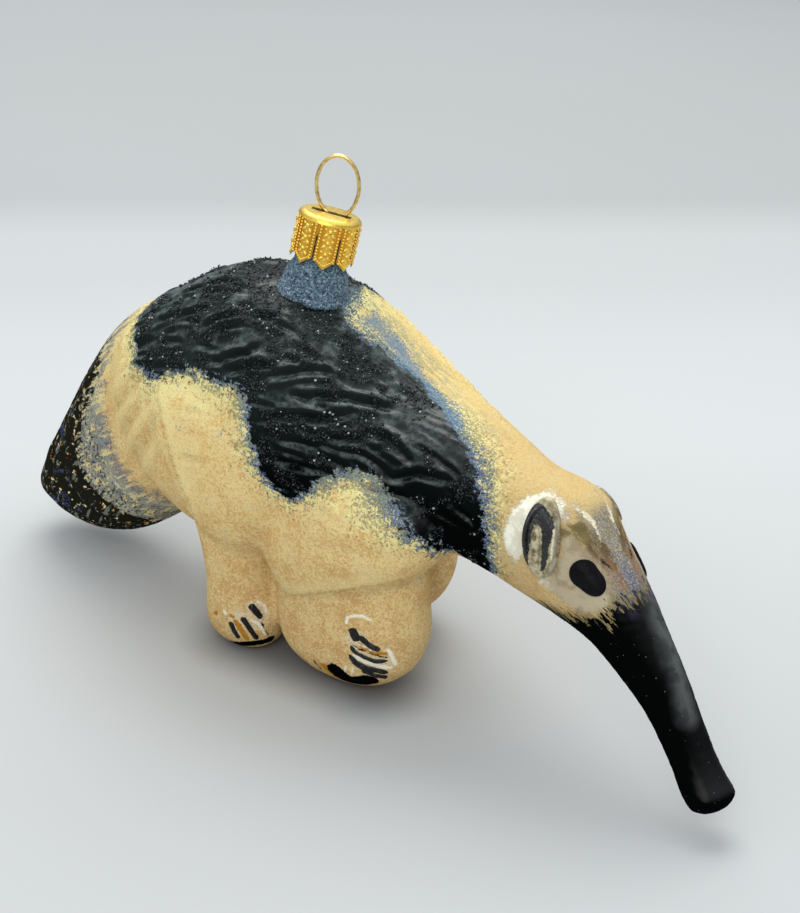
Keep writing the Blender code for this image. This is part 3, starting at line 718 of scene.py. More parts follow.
white = np.maximum(white, np.where(to_head @ np.array(HEAD_LEFT) > 0, 7.5, 2.8) - out_side)
white[(points[:, 0] < 34) | (points[:, 0] > 64)] = OUTSIDE

spout_gap = np.linalg.norm((points - SPOUT_BASE) * np.array([1, 1, 0.8]), axis=1) - SPOUT_FOOT_RADIUS

# %% Store the distances on the skin
# The flow runs along this line through the body, and places are told by how far along and how high.
AXIS = [
    (-79, 9), (-72, 22), (-62, 34), (-50, 42), (-38, 42.5), (-20, 43), (0, 42), (14, 40.5), (28, 42),
    (37, 39), (45, 37), (51, 34), (57, 30), (63, 24.5), (68, 19), (72, 14.5), (77, 9.5), (80, 6),
]
flow = np.zeros((len(points), 3))
closest = np.full(len(points), FAR_AWAY)
run_so_far = 0.0
for start, end in zip(AXIS[:-1], AXIS[1:]):
    start = np.array(start, float)
    run = np.array(end, float) - start
    length = np.linalg.norm(run)
    share = (side_place - start) @ run / length
    held = np.clip(share, 0, length)
    gap = np.linalg.norm(side_place - start - held[:, None] * run / length, axis=1)
    closer = gap < closest
    closest[closer] = gap[closer]
    height = (side_place - start) @ np.array([-run[1], run[0]]) / length
    flow[closer, 0] = run_so_far + share[closer]
    flow[closer, 2] = height[closer]
    run_so_far += length
flow[:, 1] = points[:, 1]


def store(piece, name, values):
    kind, key = ("FLOAT", "value") if values.ndim == 1 else ("FLOAT_VECTOR", "vector")
    piece.data.attributes.new(name, kind, "POINT").data.foreach_set(key, values.ravel())


for name, values in (("vest", vest), ("vest_blue", zones[1]), ("vest_yellow", zones[2]), ("sandy", sandy),
                     ("tail_black", tail_black), ("tail_mist", tail_mist), ("snout", snout),
                     ("white", white), ("spout_gap", spout_gap), ("relief", relief), ("flow", flow)):
    store(skin, name, values)
print("vest covers", int((vest < 0).sum()), "points, snout", int((snout < 0).sum()))
skin.data.shade_smooth()

# %% [markdown]
# The finish of the skin is built up as a painter would: cream first, sugared all over, then sprays of
# yellow, olive and blue dots, the black lacquer, and last the small brush marks on the head and paws.
# A spray is a fine noise cut at a level that climbs with distance, so its dots thin out and shrink.
# Brush marks on the brow are capsules in space: a place is inside when it is near enough to a line.

# %% Marks painted on the paws
# Each mark is a path in millimetres on the right paw, and its half width.
FRONT_PAINT = {
    "paw_ochre": [
        ([(12.8, -20.0, 13.7), (14.0, -19.7, 13.0), (15.2, -19.3, 12.6), (17.6, -18.3, 12.6)], 0.42),
        ([(4.9, -19.0, 5.4), (6.9, -17.5, 3.2)], 0.8),
    ],
    "paw_white": [
        ([(12.3, -20.1, 13.8), (13.8, -19.8, 13.4), (15.8, -19.1, 12.9)], 0.2),
        ([(11.9, -19.8, 10.8), (13.7, -19.4, 10.1), (15.6, -18.7, 9.8), (18.0, -17.3, 9.3)], 0.42),
        ([(18.0, -18.2, 13.6), (18.5, -17.7, 12.1), (18.9, -16.9, 10.2)], 0.35),
        ([(10.0, -19.6, 7.8), (9.1, -18.7, 4.8)], 0.24),
        ([(11.4, -19.4, 8.0), (10.6, -18.6, 5.0)], 0.24),
        ([(10.4, -20.7, 17.6), (10.6, -20.7, 18.8), (12.1, -20.5, 19.6), (13.7, -20.3, 19.9),
          (15.1, -19.8, 19.4)], 0.3),
    ],
    "paw_pale": [
        ([(12.6, -20, 14.2), (15.6, -18.8, 9.6)], 2.4),
        ([(17.8, -18, 13.0), (18.4, -17.4, 10.4)], 0.9),
    ],
    "paw_black": [
        ([(7.6, -19.2, 5.2), (9.1, -18.2, 3.4), (11.1, -17.8, 3.2), (13.8, -17.9, 4.6)], 2.0),
        ([(11.5, -20.2, 13.3), (13.1, -19.9, 12.6), (14.9, -19.3, 12.2), (17.7, -18.1, 11.7)], 0.16),
        ([(2.6, -19.2, 5.6), (3.6, -18.8, 3.6)], 0.25),
        ([(6.0, -18.4, 5.0), (6.6, -17.6, 3.2)], 0.2),
    ],
}
HIND_PAINT = {
    "paw_ochre": [
        ([(-15.3, -19.6, 7.4), (-14.4, -19.2, 5.7), (-13.6, -18.4, 3.8)], 0.6),
        ([(-20.3, -19.7, 7.4), (-19.9, -19.7, 7.8)], 0.5),
        ([(-16.2, -19.9, 8.7), (-15.8, -19.9, 8.4)], 0.4),
    ],
    "paw_white": [
        ([(-12.5, -18.5, 8.3), (-11.4, -17.3, 7.2), (-10.8, -16.3, 4.7)], 0.28),
        ([(-11.7, -17.8, 12.4), (-10.6, -16.7, 11.2), (-10.4, -16.4, 9.6)], 0.25),
        ([(-17.8, -20.1, 9.1), (-17.5, -20.1, 8.7)], 0.35),
    ],
    "paw_pale": [
        ([(-14.6, -19.3, 7.8), (-11.6, -17.6, 8.0)], 2.2),
        ([(-12.4, -18.4, 11.4), (-10.8, -16.8, 9.6)], 1.2),
    ],
    "paw_black": [
        ([(-17.5, -17.5, 0.6), (-14.5, -18.2, 1.5), (-12.7, -17.6, 2.3), (-10.5, -15.0, 3.0)], 0.95),
        ([(-11.2, -17.1, 7.5), (-10.8, -16.5, 6.0), (-10.5, -15.8, 4.3)], 0.14),
    ],
}
# The left paws stand this far behind the right ones.
LEFT_BACK = {"front": 9.5, "hind": 9.0}
NO_PAINT = 9.0
for layer in ("paw_pale", "paw_black", "paw_ochre", "paw_white"):
    gap = np.full(len(points), NO_PAINT)
    for side in (1, -1):
        for paw, paint in (("front", FRONT_PAINT), ("hind", HIND_PAINT)):
            set_back = 0 if side == 1 else LEFT_BACK[paw]
            for path, half_wide in paint[layer]:
                path = [on_skin((x - set_back, y * side, z))[0] for x, y, z in path]
                gap = np.minimum(gap, path_distance(points, path)[0] - half_wide)
    store(skin, layer, gap)
store(skin, "upward", normals[:, 2])

# %% Colours of the paints
CREAM = (0.78, 0.54, 0.20, 1)
PEACH = (0.63, 0.375, 0.155, 1)
# The tan is used only as painted shade, in grooves and in the sugar's pits.
TAN = (0.47, 0.28, 0.115, 1)
PALE = (0.90, 0.75, 0.36, 1)
LEMON = (0.86, 0.79, 0.36, 1)
BLUE = (0.030, 0.085, 0.165, 1)
SKY = (0.20, 0.33, 0.37, 1)
VIOLET = (0.07, 0.10, 0.26, 1)
MIST = (0.24, 0.27, 0.22, 1)
BLACK = (0.0015, 0.002, 0.002, 1)
# Greenish grey, used as a painted sheen on the black vest.
PAINTED_SHEEN = (0.105, 0.142, 0.135, 1)
WHITE = (1.0, 1.0, 0.84, 1)
PINKISH = (0.34, 0.27, 0.175, 1)
OCHRE = (0.50, 0.23, 0.035, 1)
BROWN = (0.16, 0.10, 0.045, 1)
OLIVE = (0.20, 0.16, 0.07, 1)


def brush(space, start, end, radius, soft):
    """A mask that is 1 near a line between two points."""
    start = Vector(start)
    run = Vector(end) - start
    gap = space.vector("SUBTRACT", tuple(start))
    share = gap.vector("DOT_PRODUCT", tuple(run), "Value") * (1 / max(run.length_squared, 1e-6))
    share = share.node("ShaderNodeClamp", {}, {"Value": share})
    line = triple(share, share, share).vector("MULTIPLY", tuple(run))
    far = gap.vector("DISTANCE", line, "Value")
    return 1 - far.step(radius - soft, radius + soft)


def spray(gap, reach, dots, full=0.38, thin=0.66):
    """Dots that cover nearly all at the edge and thin out until gap equals reach."""
    level = full + (gap / reach).most(0.0) * (thin - full)
    return (dots - level).step(-0.012, 0.02)


# %% The skin's finish: cream and sprays
material, shader, place = new_finish("painted_glass")
flow_place = place.attribute("flow", "Vector")
streaky = flow_place.vector("MULTIPLY", (0.28, 1.0, 1.0))
broad = place.noise(0.07, 3.0)
patch = place.noise(0.24, 3.0)
speck = place.noise(1.15, 4.0, 0.7)
grain = place.noise(2.5, 3.0, 0.65)
shifted = place.vector("ADD", (31.0, 7.0, 3.0))
dots = shifted.noise(1.9, 2.0, 0.6)
fine_dots = shifted.noise(3.4, 2.0, 0.6)
cell = place.cells(2.6)
streak = streaky.noise(0.9, 4.0, 0.6)
ragged = (patch - 0.5) * 2.6 + (speck - 0.5) * 4.0 + (grain - 0.5) * 1.6
upward = place.attribute("upward")
relief_value = place.attribute("relief")
height = place.axis(2)

forward = place.axis(0).step(14, 40)
# The cream is lighter high up and on faces turned upwards, and peach low down: partly the glass's own tone,
# partly painted light from above and painted shade below.
top_light_and_tone = (height + (broad - 0.5) * 40 + upward * 12).step(4, 70)
colour = top_light_and_tone.mix(PEACH, CREAM)
# Sunk grooves are painted tan: painted shade in the creases.
colour = ((0 - relief_value).step(0.03, 0.40) * 0.46).mix(colour, TAN)
sugar = (grain * 0.9 + speck * 0.55 + patch * 0.45 + top_light_and_tone * 0.08 - 0.95).step(-0.10, 0.12)
colour = (sugar * 0.66).mix(colour, PALE)
# Low points of the sugar grain are painted tan: painted shade in its pits.
colour = (grain.step(0.45, 0.30) * 0.30).mix(colour, TAN)
# Raised ridges are painted pale: a painted highlight on the ridges.
colour = (relief_value.step(0.04, 0.30) * 0.45).mix(colour, PALE)
colour = (forward * 0.52).mix(colour, (0.52, 0.36, 0.17, 1))
nape = brush(place, (-5, 4, 67.5), (10, 4, 58.5), 4.5, 3.0)
nape = nape.most(brush(place, (10, 4, 58.5), (26, -3, 53.5), 3.5, 3.0) * 0.6)
nape = nape * (streak * 0.7 + grain * 0.6).step(0.57, 0.70)
colour = (nape * 0.75).mix(colour, (0.34, 0.36, 0.22, 1))

vest_gap = place.attribute("vest") + ragged + (streak - 0.5) * 4.0
plain_gap = place.attribute("vest") + (patch - 0.5) * 4.0
blue_wide = place.attribute("vest_blue")
yellow_wide = place.attribute("vest_yellow")
yellow = spray(plain_gap - blue_wide * 0.3, yellow_wide + 0.3, speck, 0.36, 0.60) * patch.step(0.30, 0.52)
colour = (yellow * 0.72).mix(colour, LEMON)
olive = spray(plain_gap + (streak - 0.5) * 8.0, blue_wide * 1.7 + 2.0, dots, 0.42, 0.63)
colour = (olive * 0.75).mix(colour, (0.30, 0.28, 0.14, 1))
blue_tone = (patch.step(0.44, 0.58) + forward).math("MINIMUM", 1.0).mix(
    (0.15, 0.18, 0.17, 1), speck.step(0.45, 0.55).mix(BLUE, VIOLET))
blue_tone = (fine_dots.step(0.50, 0.60) * 0.75).mix(blue_tone, SKY)
blue_tone = (dots.step(0.52, 0.58) * plain_gap.step(1.0, 3.5)).mix(blue_tone, (0.44, 0.46, 0.16, 1))
blue = spray(plain_gap + (streak - 0.5) * 6.0, blue_wide + 0.35, grain, 0.36, 0.58)
colour = (blue * 0.88).mix(colour, blue_tone)
crest_blue = brush(place, (-1, 1.6, 65), (4, 1.4, 62), 2.4, 2.4)
for first, second in (((4, 1.4, 62), (11.5, -1.2, 58.5)), ((11.5, -1.2, 58.5), (21, -6.5, 55))):
    crest_blue = crest_blue.most(brush(place, first, second, 2.6, 2.4))
crest_blue = (crest_blue - 0.55 + (grain - 0.5) * 3.0 + (patch - 0.5) * 1.5).step(-0.15, 0.25)
colour = (crest_blue * 0.80).mix(colour, fine_dots.step(0.42, 0.60).mix((0.10, 0.17, 0.33, 1), SKY))

# Blue sand that strayed from the spout onto the body round its foot.
spout_gap = place.attribute("spout_gap")
strayed = spray(spout_gap + 0.5, 3.2, dots, 0.44, 0.66)
colour = (strayed * 0.9).mix(colour, fine_dots.step(0.42, 0.60).mix(BLUE, SKY))

# Tail: blue-grey mist over cream, then black with coloured flecks.
mist_gap = place.attribute("tail_mist") + (streak - 0.5) * 9.0 + (patch - 0.5) * 5.0
mist = spray(mist_gap + 1.6, 6.5, grain, 0.33, 0.62)
mist_tone = speck.step(0.42, 0.58).mix(MIST, (0.13, 0.20, 0.25, 1))
mist_tone = (patch.step(0.44, 0.60) * 0.6).mix(mist_tone, (0.36, 0.39, 0.35, 1))
mist_tone = (dots.step(0.54, 0.58) * patch.step(0.56, 0.44)).mix(mist_tone, VIOLET)
mist_tone = ((streak + grain * 0.4).step(0.72, 0.80) * 0.75).mix(mist_tone, PALE)
colour = (mist * 0.86).mix(colour, mist_tone)
specks = (dots - 0.545 - mist_gap.step(-6.0, 4.0) * 0.2).step(0.0, 0.03)
colour = (specks * 0.8).mix(colour, BLACK)
tail_gap = place.attribute("tail_black") + (streak - 0.5) * 10.0 + ragged * 0.8
tail_dark = 1 - tail_gap.step(-0.5, 0.5)
fleck = shifted.noise(0.75, 3.0, 0.55)
fleck_tone = patch.step(0.46, 0.54).mix(OCHRE, LEMON)
fleck_tone = (speck.step(0.55, 0.6) * 0.8).mix(fleck_tone, WHITE)
dark_tone = (fleck.step(0.61, 0.64) * speck.step(0.46, 0.53)).mix((0.014, 0.014, 0.010, 1), fleck_tone)
dark_tone = (patch.step(0.60, 0.66) * grain.step(0.45, 0.55) * 0.7).mix(dark_tone, VIOLET)
dark_tone = (streak.step(0.57, 0.63) * 0.6).mix(dark_tone, MIST)
colour = tail_dark.mix(colour, dark_tone)

# %% The skin's finish: black vest, head and paws
strewn = place.attribute("sandy")
black = 1 - vest_gap.step(-0.12, 0.12)
spatter = (dots - 0.625 - plain_gap.step(0.5, 5.0) * 0.14).step(0.0, 0.02)
black = black.most(spatter * plain_gap.step(7.0, 4.0))
# Faces turned upwards and the higher back are painted greenish grey over the black: a painted sheen of the
# window, weaker on sand and on the shoulder.
painted_sheen = upward.step(0.30, 0.85) * speck.step(0.35, 0.6) * patch.step(0.36, 0.56) * (1 - strewn * 0.8)
painted_sheen = painted_sheen * (1 - brush(place, (16, -8, 56), (29, -13, 47.5), 4.5, 3.5) * 0.55)
vest_tone = (painted_sheen * 0.70 + height.step(40, 62) * 0.13).mix(BLACK, PAINTED_SHEEN)
# Grey specks on the sand are painted glints.
vest_tone = (strewn * fine_dots.step(0.58, 0.64) * 0.7).mix(vest_tone, (0.11, 0.135, 0.14, 1))
colour = black.mix(colour, vest_tone)

# Head marks are folded from the left side onto the right, so one set paints both.
from_middle = place.vector("SUBTRACT", tuple(HEAD_MIDDLE))
ahead = from_middle.vector("DOT_PRODUCT", tuple(HEAD_AHEAD), "Value")
out = from_middle.vector("DOT_PRODUCT", tuple(HEAD_LEFT), "Value").math("ABSOLUTE")
wobble = (grain - 0.5) * 1.1 + (speck - 0.5) * 1.4
head_space = triple(ahead, out, height).vector("ADD", triple(wobble, wobble, wobble))
forehead = brush(head_space, head_place((53.5, -6.0, 45.5)), head_place((61.0, -5.5, 36.0)), 4.4, 1.6)
low_brow = brush(head_space, head_place((58.5, -7.5, 40.5)), head_place((62.0, -6.5, 35.0)), 2.8, 2.2)
forehead_tone = (speck.step(0.44, 0.58)).mix((0.21, 0.215, 0.23, 1), (0.24, 0.22, 0.12, 1))
forehead_tone = (fine_dots.step(0.53, 0.58) * 0.8).mix(forehead_tone, (0.50, 0.46, 0.40, 1))
forehead_tone = (low_brow * grain.step(0.42, 0.54)).mix(forehead_tone, (0.045, 0.085, 0.22, 1))
colour = (forehead * (0.55 + 0.45 * grain.step(0.36, 0.46)) * 0.94).mix(colour, forehead_tone)
white_gap = place.attribute("white") + (grain - 0.5) * 1.3 + (speck - 0.5) * 1.8
white = 1 - white_gap.step(-0.5, 0.35)
white_tone = (ahead + (speck - 0.5) * 6).step(-1.5, 2.5).mix(WHITE, PINKISH)
white_tone = (patch.step(0.45, 0.56) * 0.5).mix(white_tone, (0.60, 0.54, 0.38, 1))
colour = (white * 0.94).mix(colour, white_tone)

BROW_MARKS = [
    ((46.6, -12.4, 44.8), (49.0, -10.8, 45.4), 1.1, 0.5, OLIVE, 0.9),
    ((49.0, -10.6, 45.0), (52.0, -9.9, 42.8), 1.5, 0.5, OLIVE, 0.9),
    ((52.0, -10.0, 42.8), (54.6, -9.6, 40.6), 1.6, 0.5, BROWN, 0.85),
    ((54.6, -9.8, 40.4), (57.4, -9.9, 37.2), 1.0, 0.5, (0.28, 0.16, 0.09, 1), 0.9),
    ((53.2, -10.4, 40.8), (54.6, -9.9, 39.9), 0.30, 0.12, BLACK, 1.0),
    ((54.6, -9.9, 39.9), (56.4, -9.7, 39.2), 0.26, 0.12, BLACK, 1.0),
    ((57.0, -9.0, 39.0), (57.6, -8.8, 38.6), 0.35, 0.15, BLACK, 1.0),
    ((47.4, -8.8, 47.6), (50.6, -8.6, 45.9), 0.50, 0.2, (0.95, 0.88, 0.62, 1), 1.0),
    ((50.6, -8.6, 45.9), (52.6, -9.2, 43.4), 0.42, 0.2, (0.95, 0.88, 0.62, 1), 1.0),
]
for first, second, radius, soft, tone, share in BROW_MARKS:
    mark = brush(head_space, head_place(first), head_place(second), radius, soft)
    colour = (mark * (0.35 + 0.65 * streak.step(0.40, 0.52)) * share).mix(colour, tone)

hairs = flow_place.vector("MULTIPLY", (0.22, 1.0, 1.0)).noise(1.9, 3.0, 0.6)
snout_gap = place.attribute("snout") + ragged * 0.25 + (hairs - 0.5) * 15.0
feathered = (snout_gap - (hairs - 0.5) * 7.0).step(3.2, 0.9) * hairs.step(0.40, 0.52)
colour = (feathered * 0.85).mix(colour, OLIVE)
snout_dark = 1 - snout_gap.step(-0.2, 0.3)
snout_tone = (dots.step(0.73, 0.76)).mix(BLACK, (0.22, 0.22, 0.21, 1))
# A grey stripe along the upper edge of the snout is a painted sheen: a painted reflection on the black
# lacquer.
sheen = brush(place, (60, -5.5, 35), (67.3, -8.6, 26.4), 2.0, 2.0)
sheen = sheen.most(brush(place, (67.3, -8.6, 26.4), (72, -11.5, 19), 1.6, 1.8))
snout_tone = (sheen * (0.40 + patch.step(0.38, 0.55) * 0.4)).mix(snout_tone, (0.11, 0.12, 0.12, 1))
root = (place.attribute("snout") + 3.0).step(-1.0, 3.0)
snout_tone = (root * patch.step(0.50, 0.60) * 0.8).mix(snout_tone, (0.05, 0.045, 0.09, 1))
colour = snout_dark.mix(colour, snout_tone)

nudge = (speck - 0.5) * 0.8 + (grain - 0.5) * 0.5
pale_tone = (grain.step(0.50, 0.40) * 0.5).mix((0.84, 0.74, 0.50, 1), (0.36, 0.24, 0.12, 1))
PAW_LAYERS = [
    ("paw_pale", pale_tone, 0.65),
    ("paw_ochre", OCHRE, 1.0),
    ("paw_white", (0.95, 0.90, 0.72, 1), 1.0),
    ("paw_black", BLACK, 1.0),
]
for layer, tone, share in PAW_LAYERS:
    mark = 1 - (place.attribute(layer) + nudge).step(-0.12, 0.12)
    colour = (mark * share).mix(colour, tone)
paw_dark = mark

lacquer = black.most(snout_dark).most(tail_dark).most(paw_dark)
gloss = lacquer.most(white * 0.7)
rough = 0.88 - gloss * 0.50 + black * strewn * 0.15
coat = lacquer * (1 - black * strewn * 0.6) * (upward.step(0.40, 0.95) * 0.65 + 0.01) + white * 0.30
sugar_height = (grain * 0.8 + cell * 0.5 + speck * 0.5) * (1 - gloss * 0.80)
sand_height = (cell + fine_dots * 0.8) * black * strewn
skin_normal = bump(sugar_height + sand_height * 1.4 + gloss * speck * 0.3, 0.00026, 1.0)
connect(shader, Base_Color=colour, Roughness=rough, Coat_Weight=coat, Coat_Roughness=0.27,
        Specular_IOR_Level=0.0, Normal=skin_normal)
finish_piece(skin, material, "frosted_cream", *FLESH)

# %% [markdown]
# Ears and eyes are first shaped flat, with their height above the skin as the third measure. Then
# each point is carried to its place on the head: a line is dropped onto the skin from outside, and
# the point stands its own height above the spot that the line meets.

# %% Laying a flat piece on the head
def to_left(point, middle=HEAD_MIDDLE):
    """The mirror image of a point in the turned head, or of an arrow, whose middle is zero."""
    point = Vector(point)
    return point - 2 * (point - middle).dot(HEAD_LEFT) * HEAD_LEFT


def lay(piece, centre, out, tall, mirror):
    """Carry a flat piece onto the skin round a centre, looking along an outward arrow."""
    out = Vector(out).normalized()
    tall = Vector(tall)
    tall = (tall - out * tall.dot(out)).normalized()
    wide = tall.cross(out) * (-1 if mirror else 1)
    middle = Vector(centre)
    for vert in piece.data.vertices:
        spot = middle + wide * vert.co.x / MM + tall * vert.co.y / MM + out * 9
        hit = surface.ray_cast(spot * MM, -out)[0]
        if hit is None:
            hit = surface.find_nearest(spot * MM)[0]
        vert.co = hit + out * vert.co.z
    settle(piece)


def lay_pair(part, form, shape, centre, out, tall, lower, finish):
    """Lay a piece on the right of the head, and its mirror image a little lower on the left."""
    for side in ("right", "left"):
        piece = shape(f"{part}_{side}_{form}")
        if side == "left":
            centre = to_left(centre) - Vector((0, 0, lower))
            out, tall = to_left(out, Vector()), to_left(tall, Vector())
        lay(piece, centre, out, tall, side == "left")
        finish_piece(piece, finish, "black_gloss", f"{part}_{side}")


# %% [markdown]
# The eyes are drops of thick black lacquer, round behind and drawn to a point towards the snout.
# Each starts as a disc. Its rim is pulled into the drop, and rings raised and shrunk one after
# another give it its dome.

# %% Eyes
EYE_CENTRE = (51.75, -14.0, 39.1)
EYE_OUT = (0.34, -1.0, 0.30)
EYE_TALL = (0.82, 0.10, -0.56)
EYE_RADIUS = 2.35
EYE_CORNER = 2.2
EYE_LOWER = 1.8
EYE_SHIFT = 0.7
EYE_DOME = [
    (0.42, 0.995), (0.20, 0.97), (0.14, 0.92), (0.09, 0.84), (0.06, 0.74), (0.03, 0.62), (0.01, 0.5),
    (0.0, 0.4),
]
eye_finish, eye_shader, place = new_finish("eye_lacquer")
wear = place.noise(0.9, 3.0)
connect(eye_shader, Base_Color=wear.mix((0.004, 0.004, 0.005, 1), (0.012, 0.012, 0.013, 1)),
        Roughness=0.08 + wear * 0.08, Specular_IOR_Level=0.02)


def flat_eye(name):
    piece = basic(bpy.ops.mesh.primitive_circle_add, vertices=64, radius=MM, fill_type="NGON")
    piece.name = name
    for vert in piece.data.vertices:
        angle = math.atan2(vert.co.y, vert.co.x)
        reach = EYE_RADIUS + EYE_CORNER * max(0.0, math.sin(angle)) ** 4
        vert.co = (reach * math.cos(angle) * MM, reach * math.sin(angle) * MM, -0.25 * MM)
    edit()
    for rise, scale in EYE_DOME:
        grow(rise, scale, (0, EYE_SHIFT * MM, 0))
    bpy.ops.mesh.poke()
    leave_edit()
    return piece


lay_pair("eye", "drop", flat_eye, EYE_CENTRE, EYE_OUT, EYE_TALL, EYE_LOWER, eye_finish)

# %% [markdown]
# The ears are shallow oval cups that the mould leaves on the head, with a long low fold inside. The
# cup starts as an oval disc: its rim rises, folds inwards and sinks to the cup's floor. The fold is
# a long drop laid in the cup. Black lacquer is brushed over the front of the cup in one ragged loop,
# and the back of the rim and the fold stay a greyish cream.

# %% Ear finish
EAR_TALL = 6.4
EAR_WIDE = 3.35
# The loop of black, in parts of the ear's half width and half height.
EAR_BLACK = [
    (-0.30, 0.87), (-0.70, 0.76), (-0.98, 0.42), (-1.02, -0.05), (-0.86, -0.62), (-0.58, -0.74),
    (-0.62, -0.37), (-0.58, 0.08), (-0.42, 0.35), (-0.26, 0.39), (-0.10, 0.26), (0.03, 0.04),
    (0.03, -0.37), (-0.02, -0.64), (0.06, -0.82), (0.22, -0.80), (0.38, -0.50), (0.38, -0.23),
    (0.50, 0.04), (0.58, 0.35), (0.38, 0.58), (0.06, 0.73), (-0.10, 0.85),
]
ear_finish, ear_shader, place = new_finish("painted_ear")
ear_place = place.attribute("ear_place", "Vector")
fine = place.noise(2.6, 3.0)
coarse = place.noise(0.8, 3.0)
ear_black = 1 - (place.attribute("ear_black") + (fine - 0.5) * 0.9 + (coarse - 0.5) * 0.7).step(-0.10, 0.10)
flange = ear_place.axis(0).step(0.45 * EAR_WIDE, 0.62 * EAR_WIDE)
ear_tone = coarse.step(0.35, 0.65).mix((0.22, 0.18, 0.085, 1), (0.52, 0.46, 0.29, 1))
ear_tone = (flange * (0.55 + 0.35 * fine.step(0.4, 0.6))).mix(ear_tone, (0.30, 0.28, 0.19, 1))
EAR_SPOTS = [
    ((-0.34, 0.10), (-0.34, 0.04), 0.42, (0.10, 0.055, 0.02, 1)),
    ((-0.32, -0.28), (-0.32, -0.36), 0.42, (0.13, 0.07, 0.025, 1)),
    ((-0.10, -0.62), (-0.10, -0.66), 0.25, (0.12, 0.07, 0.03, 1)),
    ((0.60, 0.45), (0.56, -0.45), 0.20, (0.80, 0.74, 0.55, 1)),
    ((0.95, 0.40), (0.90, -0.32), 0.32, (0.16, 0.09, 0.04, 1)),
    ((0.25, 0.86), (0.72, 0.62), 0.45, (0.18, 0.14, 0.06, 1)),
]
for first, second, radius, tone in EAR_SPOTS:
    first = (first[0] * EAR_WIDE, first[1] * EAR_TALL, 0)
    second = (second[0] * EAR_WIDE, second[1] * EAR_TALL, 0)
    mark = brush(ear_place, first, second, radius, 0.22) * (0.4 + 0.6 * fine.step(0.38, 0.55))
    ear_tone = mark.mix(ear_tone, tone)
connect(ear_shader, Base_Color=ear_black.mix(ear_tone, (0.003, 0.003, 0.003, 1)),
        Roughness=0.42 - ear_black * 0.20, Coat_Weight=0.3,
        Normal=bump(fine * 0.6 + coarse, 0.0003, 0.7))

# %% Ears
EAR_CENTRE = (43.63, -13.5, 42.8)
EAR_OUT = (0.20, -1.0, 0.10)
EAR_UP = (-0.105, 0.0, 0.995)
EAR_LOWER = 2.4
EAR_STEPS = [
    (0.65, 1.03), (0.50, 1.02), (0.32, 1.0), (0.16, 0.95), (0.0, 0.93), (-0.22, 0.92), (-0.36, 0.93),
    (-0.20, 0.94), (-0.04, 0.85), (0.0, 0.78), (0.0, 0.7), (0.0, 0.6),
]


def flat_ear(name):
    cup = basic(bpy.ops.mesh.primitive_circle_add, vertices=56, radius=MM, location=(0, 0, -0.45 * MM),
                fill_type="NGON")
    edit()
    bpy.ops.transform.resize(value=(EAR_WIDE * 0.96, EAR_TALL * 0.96, 1))
    for rise, scale in EAR_STEPS:
        grow(rise, scale)
    bpy.ops.mesh.poke()
    leave_edit()
    ridge = basic(bpy.ops.mesh.primitive_uv_sphere_add, segments=20, ring_count=14, radius=MM)
    edit()
    bpy.ops.transform.resize(value=(0.85, 3.1, 0.62))
    bpy.ops.transform.translate(value=(-0.30 * EAR_WIDE * MM, -0.20 * EAR_TALL * MM, 0.50 * MM))
    leave_edit()
    piece = joined(name, cup, ridge)
    apply_modifier(piece, "SUBSURF", levels=2, render_levels=2)
    flat = read_points(piece)
    gap = zone_distance(flat[:, :2], [(u * EAR_WIDE, v * EAR_TALL) for u, v in EAR_BLACK])[0]
    flat[:, 2] = 0
    store(piece, "ear_place", flat)
    store(piece, "ear_black", gap)
    return piece


lay_pair("ear", "cup", flat_ear, EAR_CENTRE, EAR_OUT, EAR_UP, EAR_LOWER, ear_finish)

# %% [markdown]
# The claws are strokes of thick black lacquer over low ridges of the paws. A stroke is a ball drawn
# out along a path on the skin: each of its points goes to its place along the path, to the side, and
# up from the skin. The left legs stand back from the right ones, as in a walk.

# %% Claws
claw_finish, claw_shader, place = new_finish("claw_lacquer")
sheen = place.noise(1.6, 3.0)
claw_tone = sheen.step(0.52, 0.66).mix((0.003, 0.003, 0.003, 1), (0.032, 0.030, 0.045, 1))
connect(claw_shader, Base_Color=claw_tone, Roughness=0.20 + sheen * 0.2, Specular_IOR_Level=0.3,
        Normal=bump(sheen, 0.0003, 0.6))

# Each stroke is a path in millimetres on the right paw, and its half width.
FRONT_STROKES = [
    ([(11.5, -20.5, 16.8), (12.0, -20.3, 15.6), (12.5, -20.1, 14.2)], 0.95),
    ([(13.0, -20.1, 15.6), (14.0, -19.9, 14.7), (14.6, -19.7, 14.2), (15.4, -19.3, 13.7),
      (16.8, -18.9, 13.4)], 0.62),
    ([(11.2, -20.2, 12.9), (11.9, -20.0, 11.8), (13.8, -19.5, 11.1), (15.8, -18.8, 10.6),
      (17.9, -18.0, 11.1)], 0.42),
    ([(10.8, -19.9, 10.8), (12.1, -19.6, 9.2), (13.6, -19.1, 8.6), (15.6, -18.4, 8.4),
      (17.6, -17.2, 8.0)], 0.72),
    ([(13.0, -19.0, 8.0), (15.2, -18.0, 7.0), (17.3, -16.7, 6.5)], 0.55),
]
HIND_STROKES = [
    ([(-16.5, -19.7, 7.1), (-15.9, -19.4, 5.0), (-15.1, -18.9, 3.4)], 0.55),
    ([(-14.1, -19.3, 8.9), (-13.0, -18.7, 6.7), (-11.8, -17.4, 3.6)], 0.55),
    ([(-12.7, -18.7, 11.8), (-11.8, -18.0, 10.2), (-11.1, -17.1, 8.5)], 0.62),
]


